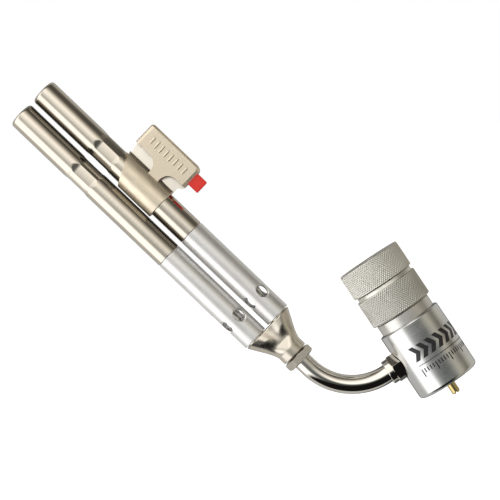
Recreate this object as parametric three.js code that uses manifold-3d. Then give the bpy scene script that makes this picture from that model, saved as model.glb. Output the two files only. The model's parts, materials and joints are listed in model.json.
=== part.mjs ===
// Twin-tube gas torch that screws onto a gas cylinder.
//
// Frame: millimetres, +Z up along the valve body's axis, origin at the centre of the body's bottom
// face, where the cylinder screws in. The neck leaves the body towards -X and bends upwards, and the
// body, neck and both burner tubes lie in the XZ plane.

import * as THREE from "three";
import { mergeVertices } from "three/addons/utils/BufferGeometryUtils.js";
import Module from "manifold-3d";

const wasm = await Module();
wasm.setup();

// Clearance between neighbouring pieces.
const GAP = 0.3;

// Facets round a turned piece, by its size.
const FINE = 32;
const MEDIUM = 20;
const COARSE = 12;

// Valve body.
const BODY_RADIUS = 19.25;
const BODY_HEIGHT = 42.2;
const BODY_FOOT_ROUND = 2.3;
const BODY_TOP_CHAMFER = 1;
const SOCKET_RADIUS = 12.1;
const SOCKET_DEPTH = 11;
const SOCKET_MOUTH_CHAMFER = 1;
const WEB_TOP = 13;
const POCKET_RADIUS = 4.6;
const CHAMBER_FLOOR = 19;
const CHAMBER_RADIUS = 9;
const LEDGE_HEIGHT = 36;
const LEDGE_RADIUS = 16.6;

// Filter, poppet and seat in the body's pocket.
const FILTER_TOP = 14.6;
const POPPET_STEM_RADIUS = 0.8;
const POPPET_HEAD_RADIUS = 2.6;
const POPPET_FOOT = 15.2;
const POPPET_HEAD_BOTTOM = 17.3;
const POPPET_HEAD_TOP = 18.2;
const POPPET_CONE_TOP = 18.6;
const POPPET_TOP = 34.5;
const SEAT_BORE = 1.3;
const SEAT_NOSE_RADIUS = 6.2;
const SEAT_NOSE = 2;
const SEAT_FOOT = 0.1;

// Diaphragm, the plate on it, and the spring and cap above.
const DIAPHRAGM_PAD_RADIUS = 3.5;
const DIAPHRAGM_PAD_BOTTOM = 34.8;
const DIAPHRAGM_TOP = 37.1;
const DIAPHRAGM_RIM_GAP = 0.4;
const PLATE_RADIUS = 9.5;
const PLATE_TOP = 38.6;
const REGULATOR_SPRING_RADIUS = 7;
const REGULATOR_SPRING_WIRE = 0.8;
const REGULATOR_SPRING_TOP = 54;
const SPRING_CAP_RADIUS = 8.6;
const SPRING_CAP_TOP = 56.2;

// Inlet pin.
const PIN_RADIUS = 2.5;
const PIN_TIP = -8.1;
const PIN_BORE = 0.9;

// Bonnet, its knurled ring and the knob.
const NECK_RADIUS = 17.2;
const RING_BOTTOM = 49.4;
const RING_TOP = 66.1;
const RING_RADIUS = 19.3;
const SHOULDER_RADIUS = 17.85;
const KNOB_BOTTOM = 68.9;
const KNOB_TOP = 84.4;
const KNOB_RADIUS = 19.45;
const KNOB_WALL = 3;
const KNOB_ROOF = 4;
const HUB_RADIUS = 6.5;
const HUB_BORE = 3.2;
const CAP_RECESS = 2.2;
const KNURL_EDGE = 0.4;
const SPRING_CHAMBER_RADIUS = 12;
const SPRING_CHAMBER_TOP = 58;
const BOSS_RADIUS = 8.5;
const BOSS_TOP = 73.6;
const CIRCLIP_RADIUS = 10;
const CIRCLIP_BOTTOM = 72.2;
const CIRCLIP_TOP = 73;
const SPINDLE_RADIUS = 4;

// Side union, measured outwards along its axis from the body's axis.
const UNION_HEIGHT = 23.4;
const SPOTFACE_RADIUS = 9.2;
const SPOTFACE_AT = 15;
const PORT_RADIUS = 6.5;
const UNION_ACROSS_CORNERS = 17.2;
const UNION_HEX_TURN = THREE.MathUtils.degToRad(17);
const UNION_HEX_END = 23.5;
const COLLAR_RADIUS = 7.35;
const COLLAR_END = 26.9;
const NIPPLE_END = 17.2;
const TUBE_START = 18.5;
const TUBE_SHOULDER_RADIUS = 6.2;
const TUBE_SHOULDER_END = 21.2;

// Neck tube.
const NECK_TUBE_RADIUS = 5.5;
const NECK_TUBE_BORE = 4;
const NECK_BEND_RADIUS = 36;
const NECK_CORNER_X = -56.5;
const NECK_STEPS = 17;

// Burner group: local +Z runs towards the tips, local +X towards the knob.
const BURNER_TILT = THREE.MathUtils.degToRad(-12.56);
const NECK_BEND = Math.PI / 2 + BURNER_TILT;
const NECK_TANGENT = NECK_BEND_RADIUS * Math.tan(NECK_BEND / 2);
const BURNER_START = new THREE.Vector3(-64, 0, 57);
const BURNER_NUT_LENGTH = 4.9;
const BURNER_NUT_ACROSS_CORNERS = 18.4;
const BURNER_NUT_TURN = THREE.MathUtils.degToRad(37.5);
const MANIFOLD_START = 5.5;
const MANIFOLD_END = 27.7;
const MANIFOLD_FLARE_START = 10.2;
const MANIFOLD_NECK_RADIUS = 8.4;
const MANIFOLD_HALF_WIDTH = 16.7;
const MANIFOLD_HALF_DEPTH = 8;
const MANIFOLD_WAIST = 6.6;
const MANIFOLD_VALLEY = 0.5;
const MANIFOLD_SOCKET_END = 14;
const MANIFOLD_PASSAGE_AT = 20.2;
const MANIFOLD_PASSAGE_RADIUS = 2.4;
const TUBE_SPACING = 18.5;
const SPIGOT_RADIUS = 6.1;
const SPIGOT_END = 36;
const JET_HOLE_RADIUS = 4.2;
const JET_HOLE_START = 24;
const SLEEVE_START = 28.3;
const SLEEVE_END = 97.3;
const SLEEVE_BORE = 6.5;
const TUBE_RADIUS = 8;
const TUBE_BORE = 7.4;
const AIR_HOLE_RADIUS = 3.6;
const AIR_HOLE_AT = 44.6;
const AIR_HOLE_COUNT = 4;
const INNER_HOLE_TURN = THREE.MathUtils.degToRad(-57);
const OUTER_HOLE_TURN = THREE.MathUtils.degToRad(-63);
const JET_RADIUS = 3;
const JET_END = 51;
const BURNER_TUBE_START = 97.6;
const BURNER_TIP = 215.7;
const TUBE_LIP = 1.9;
const FLATS_START = 158.2;
const FLATS_END = 169.2;
const FLATS_NUT_LEAD = 3;
const FLATS_TIP_LEAD = 5;
const FLATS_DEPTH = 0.42;
const FLATS_COUNT = 8;

// Igniter: heights are measured from the inner burner tube's axis.
const BRACKET_RADIUS = 9.9;
const BRACKET_REAR = 121;
const SHEET = 1.2;
const HOUSING_HALF_WIDTH = 6;
const HOUSING_REAR = 117.8;
const HOUSING_FRONT = 156.5;
const HOUSING_BOTTOM = 16.1;
const HOUSING_TOP = 30.6;
const WEB_REAR = 131.4;
const WEB_FRONT = 138.8;
const NOTCH_ROUND = 5;
const BUTTON_SIDE = 8.4;
const BUTTON_HEIGHT = 23.05;
const BUTTON_REAR = 110.6;
const BUTTON_FRONT = 121.4;
const BUTTON_FLANGE = 0.3;
const PLUNGER_RADIUS = 2.2;
const PLUNGER_END = 132;
const CRYSTAL_REAR = 141;
const PIEZO_SPRING_RADIUS = 3.3;
const PIEZO_SPRING_WIRE = 0.35;
const HOUSING_BEND = 1.5;
const HOUSING_BACK_BEND = 3;
const SHEET_FOOT = 7.4;
const PIEZO_REAR = 128;
const PIEZO_FRONT = 150;
const PIEZO_BORE = 2.6;
const ELECTRODE_AT = 135.2;
const ELECTRODE_HOLE = 2.3;

// Materials.
function metal(color, roughness) {
  return new THREE.MeshStandardMaterial({ color, roughness, metalness: 1 });
}

function plain(color, roughness) {
  return new THREE.MeshStandardMaterial({ color, roughness, metalness: 0 });
}

const satinAluminium = () => metal(0xc9cacb, 0.35);
const knurledAluminium = () => metal(0xb9b9b5, 0.55);
const stainless = () => metal(0xb8b0a4, 0.16);
const nickel = () => metal(0xc7c1b5, 0.12);
const warmNickel = () => metal(0xc2b399, 0.28);
const brass = () => metal(0xc9a24a, 0.25);
const springSteel = () => metal(0x9a9a9c, 0.35);
const rubber = () => plain(0x1c1c1c, 0.8);
const ceramic = () => plain(0xf1eee6, 0.4);
const redPlastic = () => plain(0xdc2d1e, 0.4);
const blackPlastic = () => plain(0x202022, 0.5);

// A geometry with shared vertices merged, collapsed triangles dropped and faces pointing outwards.
function closed(geometry) {
  const bare = new THREE.BufferGeometry();
  bare.setAttribute("position", geometry.getAttribute("position").clone());
  bare.setIndex(geometry.index ? geometry.index.clone() : null);
  const merged = mergeVertices(bare, 1e-4);
  const corner = merged.getAttribute("position");
  const [a, b, c] = [new THREE.Vector3(), new THREE.Vector3(), new THREE.Vector3()];
  const kept = [];
  let volume = 0;
  for (let i = 0; i < merged.index.count; i += 3) {
    const [p, q, r] = [merged.index.getX(i), merged.index.getX(i + 1), merged.index.getX(i + 2)];
    if (p === q || q === r || r === p) continue;
    kept.push(p, q, r);
    a.fromBufferAttribute(corner, p);
    b.fromBufferAttribute(corner, q);
    c.fromBufferAttribute(corner, r);
    volume += a.dot(b.cross(c));
  }
  if (volume < 0) {
    for (let i = 0; i < kept.length; i += 3) {
      [kept[i], kept[i + 1]] = [kept[i + 1], kept[i]];
    }
  }
  merged.setIndex(kept);
  return merged;
}

function solid(geometry) {
  const shape = closed(geometry);
  return new wasm.Manifold(new wasm.Mesh({
    numProp: 3,
    vertProperties: Float32Array.from(shape.getAttribute("position").array),
    triVerts: Uint32Array.from(shape.index.array),
  }));
}

function geometryOf(manifold) {
  const mesh = manifold.getMesh();
  const geometry = new THREE.BufferGeometry();
  geometry.setAttribute("position", new THREE.BufferAttribute(Float32Array.from(mesh.vertProperties), 3));
  geometry.setIndex(new THREE.BufferAttribute(Uint32Array.from(mesh.triVerts), 1));
  return geometry;
}

// Joins the first list of geometries and cuts the second list away from them.
function carved(joined, cut = []) {
  let shape = solid(joined[0]);
  for (const part of joined.slice(1)) shape = shape.add(solid(part));
  for (const part of cut) shape = shape.subtract(solid(part));
  return geometryOf(shape);
}

// A profile of [radius, height] points turned about Z. A profile that leaves the axis open is closed.
function turned(profile, facets = MEDIUM) {
  const points = profile.map(([radius, height]) => new THREE.Vector2(radius, height));
  const first = points[0];
  const last = points[points.length - 1];
  if (first.x > 0 || last.x > 0) points.push(first.clone());
  const geometry = new THREE.LatheGeometry(points, facets);
  geometry.rotateX(Math.PI / 2);
  return closed(geometry);
}

function rod(radius, from, to, facets = COARSE) {
  return turned([[0, from], [radius, from], [radius, to], [0, to]], facets);
}

function tube(outer, inner, from, to, facets = MEDIUM) {
  return turned([[inner, from], [outer, from], [outer, to], [inner, to]], facets);
}

// A rod that runs outwards from the Z axis, turned by an angle from +X.
function spoke(radius, from, to, height, turn = 0) {
  const geometry = rod(radius, from, to);
  geometry.rotateY(Math.PI / 2);
  geometry.rotateZ(turn);
  geometry.translate(0, 0, height);
  return geometry;
}

function hexagon(acrossCorners, from, to, turn) {
  const geometry = new THREE.CylinderGeometry(acrossCorners / 2, acrossCorners / 2, to - from, 6);
  geometry.rotateX(Math.PI / 2);
  geometry.rotateZ(turn);
  geometry.translate(0, 0, (from + to) / 2);
  return geometry;
}

function block(x0, x1, y0, y1, z0, z1) {
  const geometry = new THREE.BoxGeometry(x1 - x0, y1 - y0, z1 - z0);
  geometry.translate((x0 + x1) / 2, (y0 + y1) / 2, (z0 + z1) / 2);
  return geometry;
}

// Joins rings that have the same number of points. An open stack is closed by a fan at each end.
function skinned(rings, loops = false) {
  const positions = [];
  const index = [];
  const count = rings[0].length;
  for (const ring of rings) {
    for (const point of ring) positions.push(point.x, point.y, point.z);
  }
  const spans = loops ? rings.length : rings.length - 1;
  for (let row = 0; row < spans; row += 1) {
    const next = (row + 1) % rings.length;
    for (let i = 0; i < count; i += 1) {
      const j = (i + 1) % count;
      index.push(row * count + i, row * count + j, next * count + j);
      index.push(row * count + i, next * count + j, next * count + i);
    }
  }
  if (!loops) {
    for (const row of [0, rings.length - 1]) {
      const middle = positions.length / 3;
      const centre = rings[row].reduce((sum, point) => sum.add(point), new THREE.Vector3());
      centre.divideScalar(count);
      positions.push(centre.x, centre.y, centre.z);
      for (let i = 0; i < count; i += 1) {
        const pair = [row * count + i, row * count + ((i + 1) % count)];
        index.push(middle, ...(row === 0 ? pair.reverse() : pair));
      }
    }
  }
  const geometry = new THREE.BufferGeometry();
  geometry.setAttribute("position", new THREE.Float32BufferAttribute(positions, 3));
  geometry.setIndex(index);
  return closed(geometry);
}

// A round section swept along a curve.
function swept(curve, radius, sides, steps, bore = 0) {
  const section = new THREE.Shape();
  section.absarc(0, 0, radius, 0, 2 * Math.PI);
  if (bore > 0) {
    const hole = new THREE.Path();
    hole.absarc(0, 0, bore, 0, 2 * Math.PI);
    section.holes.push(hole);
  }
  return closed(new THREE.ExtrudeGeometry(section, { steps, curveSegments: sides / 2, extrudePath: curve }));
}

class Helix extends THREE.Curve {
  constructor(radius, from, to, turns) {
    super();
    Object.assign(this, { radius, from, to, turns });
  }

  getPoint(share, target = new THREE.Vector3()) {
    const angle = 2 * Math.PI * this.turns * share;
    const height = this.from + (this.to - this.from) * share;
    return target.set(this.radius * Math.cos(angle), this.radius * Math.sin(angle), height);
  }
}

function spring(radius, wire, from, to, turns) {
  return swept(new Helix(radius, from + wire, to - wire, turns), wire, 4, turns * 9);
}

// The neck's centre line: straight out of the union, one bend in the XZ plane, straight into the burner.
class NeckLine extends THREE.Curve {
  constructor(startX, endReach) {
    super();
    this.startX = startX;
    this.bendX = NECK_CORNER_X + NECK_TANGENT;
    this.lengths = [startX - this.bendX, NECK_BEND_RADIUS * NECK_BEND, endReach];
  }

  getPoint(share, target = new THREE.Vector3()) {
    const [lead, arc, tail] = this.lengths;
    const run = share * (lead + arc + tail);
    if (run <= lead) return target.set(this.startX - run, 0, UNION_HEIGHT);
    const turn = Math.min(run - lead, arc) / NECK_BEND_RADIUS;
    const extra = Math.max(run - lead - arc, 0);
    return target.set(
      this.bendX - NECK_BEND_RADIUS * Math.sin(turn) - extra * Math.cos(turn),
      0,
      UNION_HEIGHT + NECK_BEND_RADIUS * (1 - Math.cos(turn)) + extra * Math.sin(turn),
    );
  }
}

function quarterRound(centreRadius, centreHeight, round, from, steps = 3) {
  return Array.from({ length: steps + 1 }, (_, i) => {
    const angle = from + ((Math.PI / 2) * i) / steps;
    return [centreRadius + round * Math.cos(angle), centreHeight + round * Math.sin(angle)];
  });
}

function valveBody() {
  const shell = turned([
    [PIN_RADIUS + GAP, SOCKET_DEPTH],
    [SOCKET_RADIUS, SOCKET_DEPTH],
    [SOCKET_RADIUS, SOCKET_MOUTH_CHAMFER],
    [SOCKET_RADIUS + SOCKET_MOUTH_CHAMFER, 0],
    ...quarterRound(BODY_RADIUS - BODY_FOOT_ROUND, BODY_FOOT_ROUND, BODY_FOOT_ROUND, -Math.PI / 2),
    [BODY_RADIUS, BODY_HEIGHT - BODY_TOP_CHAMFER],
    [BODY_RADIUS - BODY_TOP_CHAMFER, BODY_HEIGHT],
    [LEDGE_RADIUS, BODY_HEIGHT],
    [LEDGE_RADIUS, LEDGE_HEIGHT],
    [CHAMBER_RADIUS, LEDGE_HEIGHT],
    [CHAMBER_RADIUS, CHAMBER_FLOOR],
    [POCKET_RADIUS, CHAMBER_FLOOR],
    [POCKET_RADIUS, WEB_TOP],
    [PIN_RADIUS + GAP, WEB_TOP],
  ], FINE);
  const cuts = [
    spoke(SPOTFACE_RADIUS, SPOTFACE_AT, BODY_RADIUS + 1, UNION_HEIGHT, Math.PI),
    spoke(PORT_RADIUS, CHAMBER_RADIUS - 2, BODY_RADIUS, UNION_HEIGHT, Math.PI),
  ];
  return carved([shell], cuts);
}

function inletPin() {
  const top = WEB_TOP - GAP;
  return turned([
    [PIN_BORE, PIN_TIP],
    [PIN_RADIUS - 0.7, PIN_TIP],
    [PIN_RADIUS, PIN_TIP + 0.9],
    [PIN_RADIUS, top],
    [PIN_BORE, top],
  ]);
}

function bonnet() {
  const ledgeTop = LEDGE_HEIGHT + 1.4;
  return turned([
    [SPRING_CHAMBER_RADIUS, ledgeTop],
    [LEDGE_RADIUS - GAP, ledgeTop],
    [LEDGE_RADIUS - GAP, BODY_HEIGHT + GAP],
    [NECK_RADIUS, BODY_HEIGHT + GAP],
    [NECK_RADIUS, RING_BOTTOM - GAP],
    [NECK_RADIUS - 1, RING_BOTTOM - GAP],
    [NECK_RADIUS - 1, RING_TOP - 3],
    [BOSS_RADIUS, RING_TOP - 3],
    [BOSS_RADIUS, BOSS_TOP],
    [SPINDLE_RADIUS + GAP, BOSS_TOP],
    [SPINDLE_RADIUS + GAP, SPRING_CHAMBER_TOP],
    [SPRING_CHAMBER_RADIUS, SPRING_CHAMBER_TOP],
  ], FINE);
}

function bonnetRing() {
  return turned([
    [NECK_RADIUS - 0.7, RING_BOTTOM],
    [RING_RADIUS - KNURL_EDGE, RING_BOTTOM],
    [RING_RADIUS, RING_BOTTOM + KNURL_EDGE],
    [RING_RADIUS, RING_TOP],
    [SHOULDER_RADIUS, RING_TOP],
    [SHOULDER_RADIUS, KNOB_BOTTOM - GAP],
    [BOSS_RADIUS + GAP, KNOB_BOTTOM - GAP],
    [BOSS_RADIUS + GAP, RING_TOP - 3 + GAP],
    [NECK_RADIUS - 0.7, RING_TOP - 3 + GAP],
  ], FINE);
}

function controlKnob() {
  const roof = KNOB_TOP - KNOB_ROOF;
  const hubBottom = BOSS_TOP + GAP;
  return turned([
    [BOSS_RADIUS + GAP, KNOB_BOTTOM],
    [KNOB_RADIUS - KNURL_EDGE, KNOB_BOTTOM],
    [KNOB_RADIUS, KNOB_BOTTOM + KNURL_EDGE],
    [KNOB_RADIUS, KNOB_TOP - KNURL_EDGE],
    [KNOB_RADIUS - KNURL_EDGE, KNOB_TOP],
    [HUB_RADIUS, KNOB_TOP],
    [HUB_RADIUS, KNOB_TOP - CAP_RECESS],
    [HUB_BORE, KNOB_TOP - CAP_RECESS],
    [HUB_BORE, hubBottom],
    [HUB_RADIUS, hubBottom],
    [HUB_RADIUS, roof],
    [KNOB_RADIUS - KNOB_WALL, roof],
    [KNOB_RADIUS - KNOB_WALL, KNOB_BOTTOM + KNOB_WALL],
    [BOSS_RADIUS + GAP, KNOB_BOTTOM + KNOB_WALL],
  ], FINE);
}

function spindle() {
  return turned([
    [0, SPRING_CHAMBER_TOP - 1.5],
    [SPINDLE_RADIUS, SPRING_CHAMBER_TOP - 1.5],
    [SPINDLE_RADIUS, BOSS_TOP - 2],
    [HUB_BORE - GAP, BOSS_TOP - 1],
    [HUB_BORE - GAP, KNOB_TOP - 2.6],
    [0, KNOB_TOP - 2.6],
  ]);
}

function diaphragm() {
  return turned([
    [0, DIAPHRAGM_PAD_BOTTOM],
    [DIAPHRAGM_PAD_RADIUS, DIAPHRAGM_PAD_BOTTOM],
    [DIAPHRAGM_PAD_RADIUS, LEDGE_HEIGHT + GAP],
    [LEDGE_RADIUS - DIAPHRAGM_RIM_GAP, LEDGE_HEIGHT + GAP],
    [LEDGE_RADIUS - DIAPHRAGM_RIM_GAP, DIAPHRAGM_TOP],
    [0, DIAPHRAGM_TOP],
  ]);
}

function valvePoppet() {
  return turned([
    [0, POPPET_FOOT],
    [POPPET_STEM_RADIUS, POPPET_FOOT],
    [POPPET_STEM_RADIUS, POPPET_HEAD_BOTTOM],
    [POPPET_HEAD_RADIUS, POPPET_HEAD_BOTTOM],
    [POPPET_HEAD_RADIUS, POPPET_HEAD_TOP],
    [POPPET_STEM_RADIUS, POPPET_CONE_TOP],
    [POPPET_STEM_RADIUS, POPPET_TOP],
    [0, POPPET_TOP],
  ], COARSE);
}

function valveSeat() {
  return turned([
    [SEAT_BORE, CHAMBER_FLOOR - SEAT_FOOT],
    [POCKET_RADIUS - GAP, CHAMBER_FLOOR - SEAT_FOOT],
    [POCKET_RADIUS - GAP, CHAMBER_FLOOR + GAP],
    [SEAT_NOSE_RADIUS, CHAMBER_FLOOR + GAP],
    [SEAT_NOSE_RADIUS, CHAMBER_FLOOR + SEAT_NOSE],
    [SEAT_BORE, CHAMBER_FLOOR + SEAT_NOSE],
  ], COARSE);
}

function regulatorSpring() {
  return spring(REGULATOR_SPRING_RADIUS, REGULATOR_SPRING_WIRE, PLATE_TOP + GAP, REGULATOR_SPRING_TOP, 5);
}

function springCap() {
  return rod(SPRING_CAP_RADIUS, REGULATOR_SPRING_TOP + GAP, SPRING_CAP_TOP, MEDIUM);
}

function knobCirclip() {
  return tube(CIRCLIP_RADIUS, BOSS_RADIUS + GAP, CIRCLIP_BOTTOM, CIRCLIP_TOP, COARSE);
}

function knobCap() {
  return rod(HUB_RADIUS - GAP, KNOB_TOP - CAP_RECESS + GAP, KNOB_TOP - GAP, MEDIUM);
}

function bodyNipple() {
  return tube(PORT_RADIUS - GAP, 2.8, CHAMBER_RADIUS + 0.6, NIPPLE_END);
}

function unionNut() {
  const hex = hexagon(UNION_ACROSS_CORNERS, SPOTFACE_AT + GAP, UNION_HEX_END, UNION_HEX_TURN);
  const collar = rod(COLLAR_RADIUS, UNION_HEX_END - 1, COLLAR_END, MEDIUM);
  const thread = rod(PORT_RADIUS, SPOTFACE_AT - 1, TUBE_SHOULDER_END + GAP, MEDIUM);
  const bore = rod(NECK_TUBE_RADIUS + GAP, SPOTFACE_AT, COLLAR_END + 1, MEDIUM);
  return carved([hex, collar], [thread, bore]);
}

function neckTube() {
  const reach = MANIFOLD_SOCKET_END - GAP * 2;
  const corner = new THREE.Vector3(NECK_CORNER_X, 0, UNION_HEIGHT);
  const line = new NeckLine(-TUBE_START, BURNER_START.distanceTo(corner) - NECK_TANGENT + reach);
  const pipe = swept(line, NECK_TUBE_RADIUS, 14, NECK_STEPS, NECK_TUBE_BORE);
  const shoulder = tube(TUBE_SHOULDER_RADIUS, NECK_TUBE_RADIUS - 0.7, TUBE_START + 0.1, TUBE_SHOULDER_END);
  shoulder.rotateY(-Math.PI / 2);
  shoulder.translate(0, 0, UNION_HEIGHT);
  return carved([pipe, shoulder]);
}

function burnerNut() {
  const hex = hexagon(BURNER_NUT_ACROSS_CORNERS, 0, BURNER_NUT_LENGTH, BURNER_NUT_TURN);
  return carved([hex], [rod(NECK_TUBE_RADIUS + GAP, -1, BURNER_NUT_LENGTH + 1, MEDIUM)]);
}

// One ring of the manifold: two half circles of the depth, moved apart to give the width, with a dip
// in the front and the back between them.
function stadium(height, halfWidth, halfDepth, dip) {
  const steps = 10;
  const dipSteps = 4;
  const shift = halfWidth - halfDepth;
  const ring = [];
  for (const side of [1, -1]) {
    for (let i = 0; i <= steps; i += 1) {
      const angle = -Math.PI / 2 + (Math.PI * i) / steps + (side < 0 ? Math.PI : 0);
      const x = side * shift + halfDepth * Math.cos(angle);
      ring.push(new THREE.Vector3(x, halfDepth * Math.sin(angle), height));
    }
    for (let i = 1; i < dipSteps; i += 1) {
      const share = i / dipSteps;
      const y = side * (halfDepth - dip * Math.sin(Math.PI * share) ** 2);
      ring.push(new THREE.Vector3(side * shift * (1 - 2 * share), y, height));
    }
  }
  return ring;
}

// Half the manifold's depth over its bores: full at the wide end, waisted behind it and round again at
// the neck. The dip between the bores keeps the middle of the face level, and then falls a little.
function manifoldSection(height) {
  const { lerp, smoothstep } = THREE.MathUtils;
  const wide = lerp(MANIFOLD_WAIST, MANIFOLD_HALF_DEPTH, smoothstep(height, 17, 23.5));
  const halfDepth = lerp(MANIFOLD_NECK_RADIUS, wide, smoothstep(height, 10.5, 16.5));
  const dip = wide - MANIFOLD_WAIST + MANIFOLD_VALLEY * smoothstep(height, 17, 27);
  return [halfDepth, dip];
}

function manifold() {
  const rings = [stadium(MANIFOLD_START, MANIFOLD_NECK_RADIUS, MANIFOLD_NECK_RADIUS, 0)];
  const steps = 9;
  for (let i = 0; i <= steps; i += 1) {
    const share = i / steps;
    const swell = share ** 1.5 * (1.45 - 0.45 * share);
    const height = THREE.MathUtils.lerp(MANIFOLD_FLARE_START, MANIFOLD_END, share);
    const halfWidth = THREE.MathUtils.lerp(MANIFOLD_NECK_RADIUS, MANIFOLD_HALF_WIDTH, swell);
    rings.push(stadium(height, halfWidth, ...manifoldSection(height)));
  }
  const joined = [skinned(rings)];
  const inlet = [NECK_TUBE_RADIUS + GAP, MANIFOLD_START - 1, MANIFOLD_SOCKET_END];
  const cuts = [rod(...inlet, MEDIUM), rod(3.4, MANIFOLD_SOCKET_END - 1, MANIFOLD_PASSAGE_AT)];
  for (const side of [1, -1]) {
    const offset = (side * TUBE_SPACING) / 2;
    const spigot = rod(SPIGOT_RADIUS, MANIFOLD_END - 1, SPIGOT_END, MEDIUM);
    spigot.translate(offset, 0, 0);
    joined.push(spigot);
    const jetHole = rod(JET_HOLE_RADIUS, JET_HOLE_START, SPIGOT_END + 1);
    jetHole.translate(offset, 0, 0);
    const feed = rod(MANIFOLD_PASSAGE_RADIUS, MANIFOLD_PASSAGE_AT, JET_HOLE_START + 1);
    feed.translate(offset, 0, 0);
    cuts.push(jetHole, feed);
  }
  const passage = rod(MANIFOLD_PASSAGE_RADIUS, -TUBE_SPACING / 2, TUBE_SPACING / 2);
  passage.rotateY(Math.PI / 2);
  passage.translate(0, 0, MANIFOLD_PASSAGE_AT);
  cuts.push(passage);
  return carved(joined, cuts);
}

function gasJet() {
  const base = JET_HOLE_START + 0.6;
  return turned([
    [0.6, base],
    [JET_HOLE_RADIUS - GAP, base],
    [JET_HOLE_RADIUS - GAP, SPIGOT_END + 1],
    [JET_RADIUS, SPIGOT_END + 2],
    [JET_RADIUS, JET_END - 2],
    [1.6, JET_END],
    [0.6, JET_END],
  ], COARSE);
}

function mixerSleeve(turn) {
  const barrel = turned([
    [SLEEVE_BORE, SLEEVE_START],
    [TUBE_RADIUS - 0.3, SLEEVE_START],
    [TUBE_RADIUS, SLEEVE_START + 0.3],
    [TUBE_RADIUS, SLEEVE_END],
    [TUBE_BORE - GAP, SLEEVE_END],
    [TUBE_BORE - GAP, SLEEVE_END + 8],
    [SLEEVE_BORE, SLEEVE_END + 8],
  ], MEDIUM);
  const holes = Array.from({ length: AIR_HOLE_COUNT }, (_, i) => {
    const angle = turn + (i * 2 * Math.PI) / AIR_HOLE_COUNT;
    return spoke(AIR_HOLE_RADIUS, SLEEVE_BORE - 2, TUBE_RADIUS + 1, AIR_HOLE_AT, angle);
  });
  return carved([barrel], holes);
}

// One ring of a burner tube, pressed in towards each flat by a share of the full depth.
function pressedRing(radius, height, share) {
  const perFlat = 3;
  const count = FLATS_COUNT * perFlat;
  return Array.from({ length: count }, (_, i) => {
    const angle = (2 * Math.PI * i) / count;
    const fromFlat = ((i % perFlat) * 2 * Math.PI) / count;
    const offCentre = Math.min(fromFlat, (2 * Math.PI) / FLATS_COUNT - fromFlat);
    const reach = Math.min(radius, (radius - FLATS_DEPTH * share) / Math.cos(offCentre));
    return new THREE.Vector3(reach * Math.cos(angle), reach * Math.sin(angle), height);
  });
}

function burnerTube() {
  const wall = TUBE_RADIUS - TUBE_BORE;
  const stations = [
    [BURNER_TUBE_START, 0],
    [FLATS_START - FLATS_NUT_LEAD, 0],
    [FLATS_START, 1],
    [FLATS_END, 1],
    [FLATS_END + FLATS_TIP_LEAD, 0],
  ];
  const outside = stations.map(([height, share]) => pressedRing(TUBE_RADIUS, height, share));
  const inside = stations.map(([height, share]) => pressedRing(TUBE_BORE, height, share)).reverse();
  const lip = [
    ...quarterRound(TUBE_RADIUS - TUBE_LIP, BURNER_TIP - TUBE_LIP, TUBE_LIP, 0),
    ...quarterRound(TUBE_RADIUS - TUBE_LIP, BURNER_TIP - TUBE_LIP, TUBE_LIP - wall, 0).reverse(),
  ].map(([radius, height]) => pressedRing(radius, height, 0));
  return skinned([...outside, ...lip, ...inside], true);
}

function flameHolder() {
  const bottom = FLATS_START + 1.5;
  const top = FLATS_END - 1.5;
  const rim = 6.2;
  const hub = 1.8;
  const vanes = Array.from({ length: 6 }, (_, i) => {
    const vane = block(hub - 0.4, rim - 0.4, -0.4, 0.4, -3.2, 3.2);
    vane.rotateX(THREE.MathUtils.degToRad(32));
    vane.rotateZ((i * Math.PI) / 3);
    vane.translate(0, 0, (bottom + top) / 2);
    return vane;
  });
  return carved([tube(rim, rim - 0.8, bottom, top), rod(hub, bottom, top), ...vanes]);
}

// A flat outline of [height, along] points, extruded across the housing from one Y to another.
function sheetPiece(outline, y0, y1) {
  const options = { depth: y1 - y0, bevelEnabled: false, curveSegments: 5 };
  const geometry = new THREE.ExtrudeGeometry(outline, options);
  geometry.rotateX(Math.PI / 2);
  geometry.translate(0, y1, 0);
  return geometry;
}

function housingOutline(inset, bottom) {
  const [rear, front, top] = [HOUSING_REAR + inset, HOUSING_FRONT - inset, HOUSING_TOP - inset];
  const round = HOUSING_BACK_BEND - inset;
  const outline = new THREE.Shape();
  outline.moveTo(bottom, front);
  outline.lineTo(top - HOUSING_BEND, front);
  outline.quadraticCurveTo(top, front, top, front - HOUSING_BEND);
  outline.lineTo(top, rear + round);
  outline.quadraticCurveTo(top, rear, top - round, rear);
  outline.lineTo(bottom, rear);
  return outline;
}

function backOutline() {
  const outline = new THREE.Shape();
  outline.moveTo(SHEET_FOOT, 154);
  outline.lineTo(HOUSING_BOTTOM + 1, HOUSING_FRONT);
  outline.lineTo(HOUSING_BOTTOM + 1, HOUSING_REAR);
  outline.lineTo(HOUSING_BOTTOM - 1, HOUSING_REAR);
  outline.lineTo(13.2, BRACKET_REAR);
  outline.lineTo(SHEET_FOOT, BRACKET_REAR);
  return outline;
}

function webOutline() {
  const outline = new THREE.Shape();
  outline.moveTo(SHEET_FOOT, WEB_FRONT);
  outline.lineTo(HOUSING_BOTTOM - NOTCH_ROUND, WEB_FRONT);
  outline.quadraticCurveTo(HOUSING_BOTTOM, WEB_FRONT, HOUSING_BOTTOM, WEB_FRONT + NOTCH_ROUND);
  outline.lineTo(HOUSING_BOTTOM + 1, WEB_FRONT + NOTCH_ROUND);
  outline.lineTo(HOUSING_BOTTOM + 1, WEB_REAR - NOTCH_ROUND);
  outline.lineTo(HOUSING_BOTTOM, WEB_REAR - NOTCH_ROUND);
  outline.quadraticCurveTo(HOUSING_BOTTOM, WEB_REAR, HOUSING_BOTTOM - NOTCH_ROUND, WEB_REAR);
  outline.lineTo(SHEET_FOOT, WEB_REAR);
  return outline;
}

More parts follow.
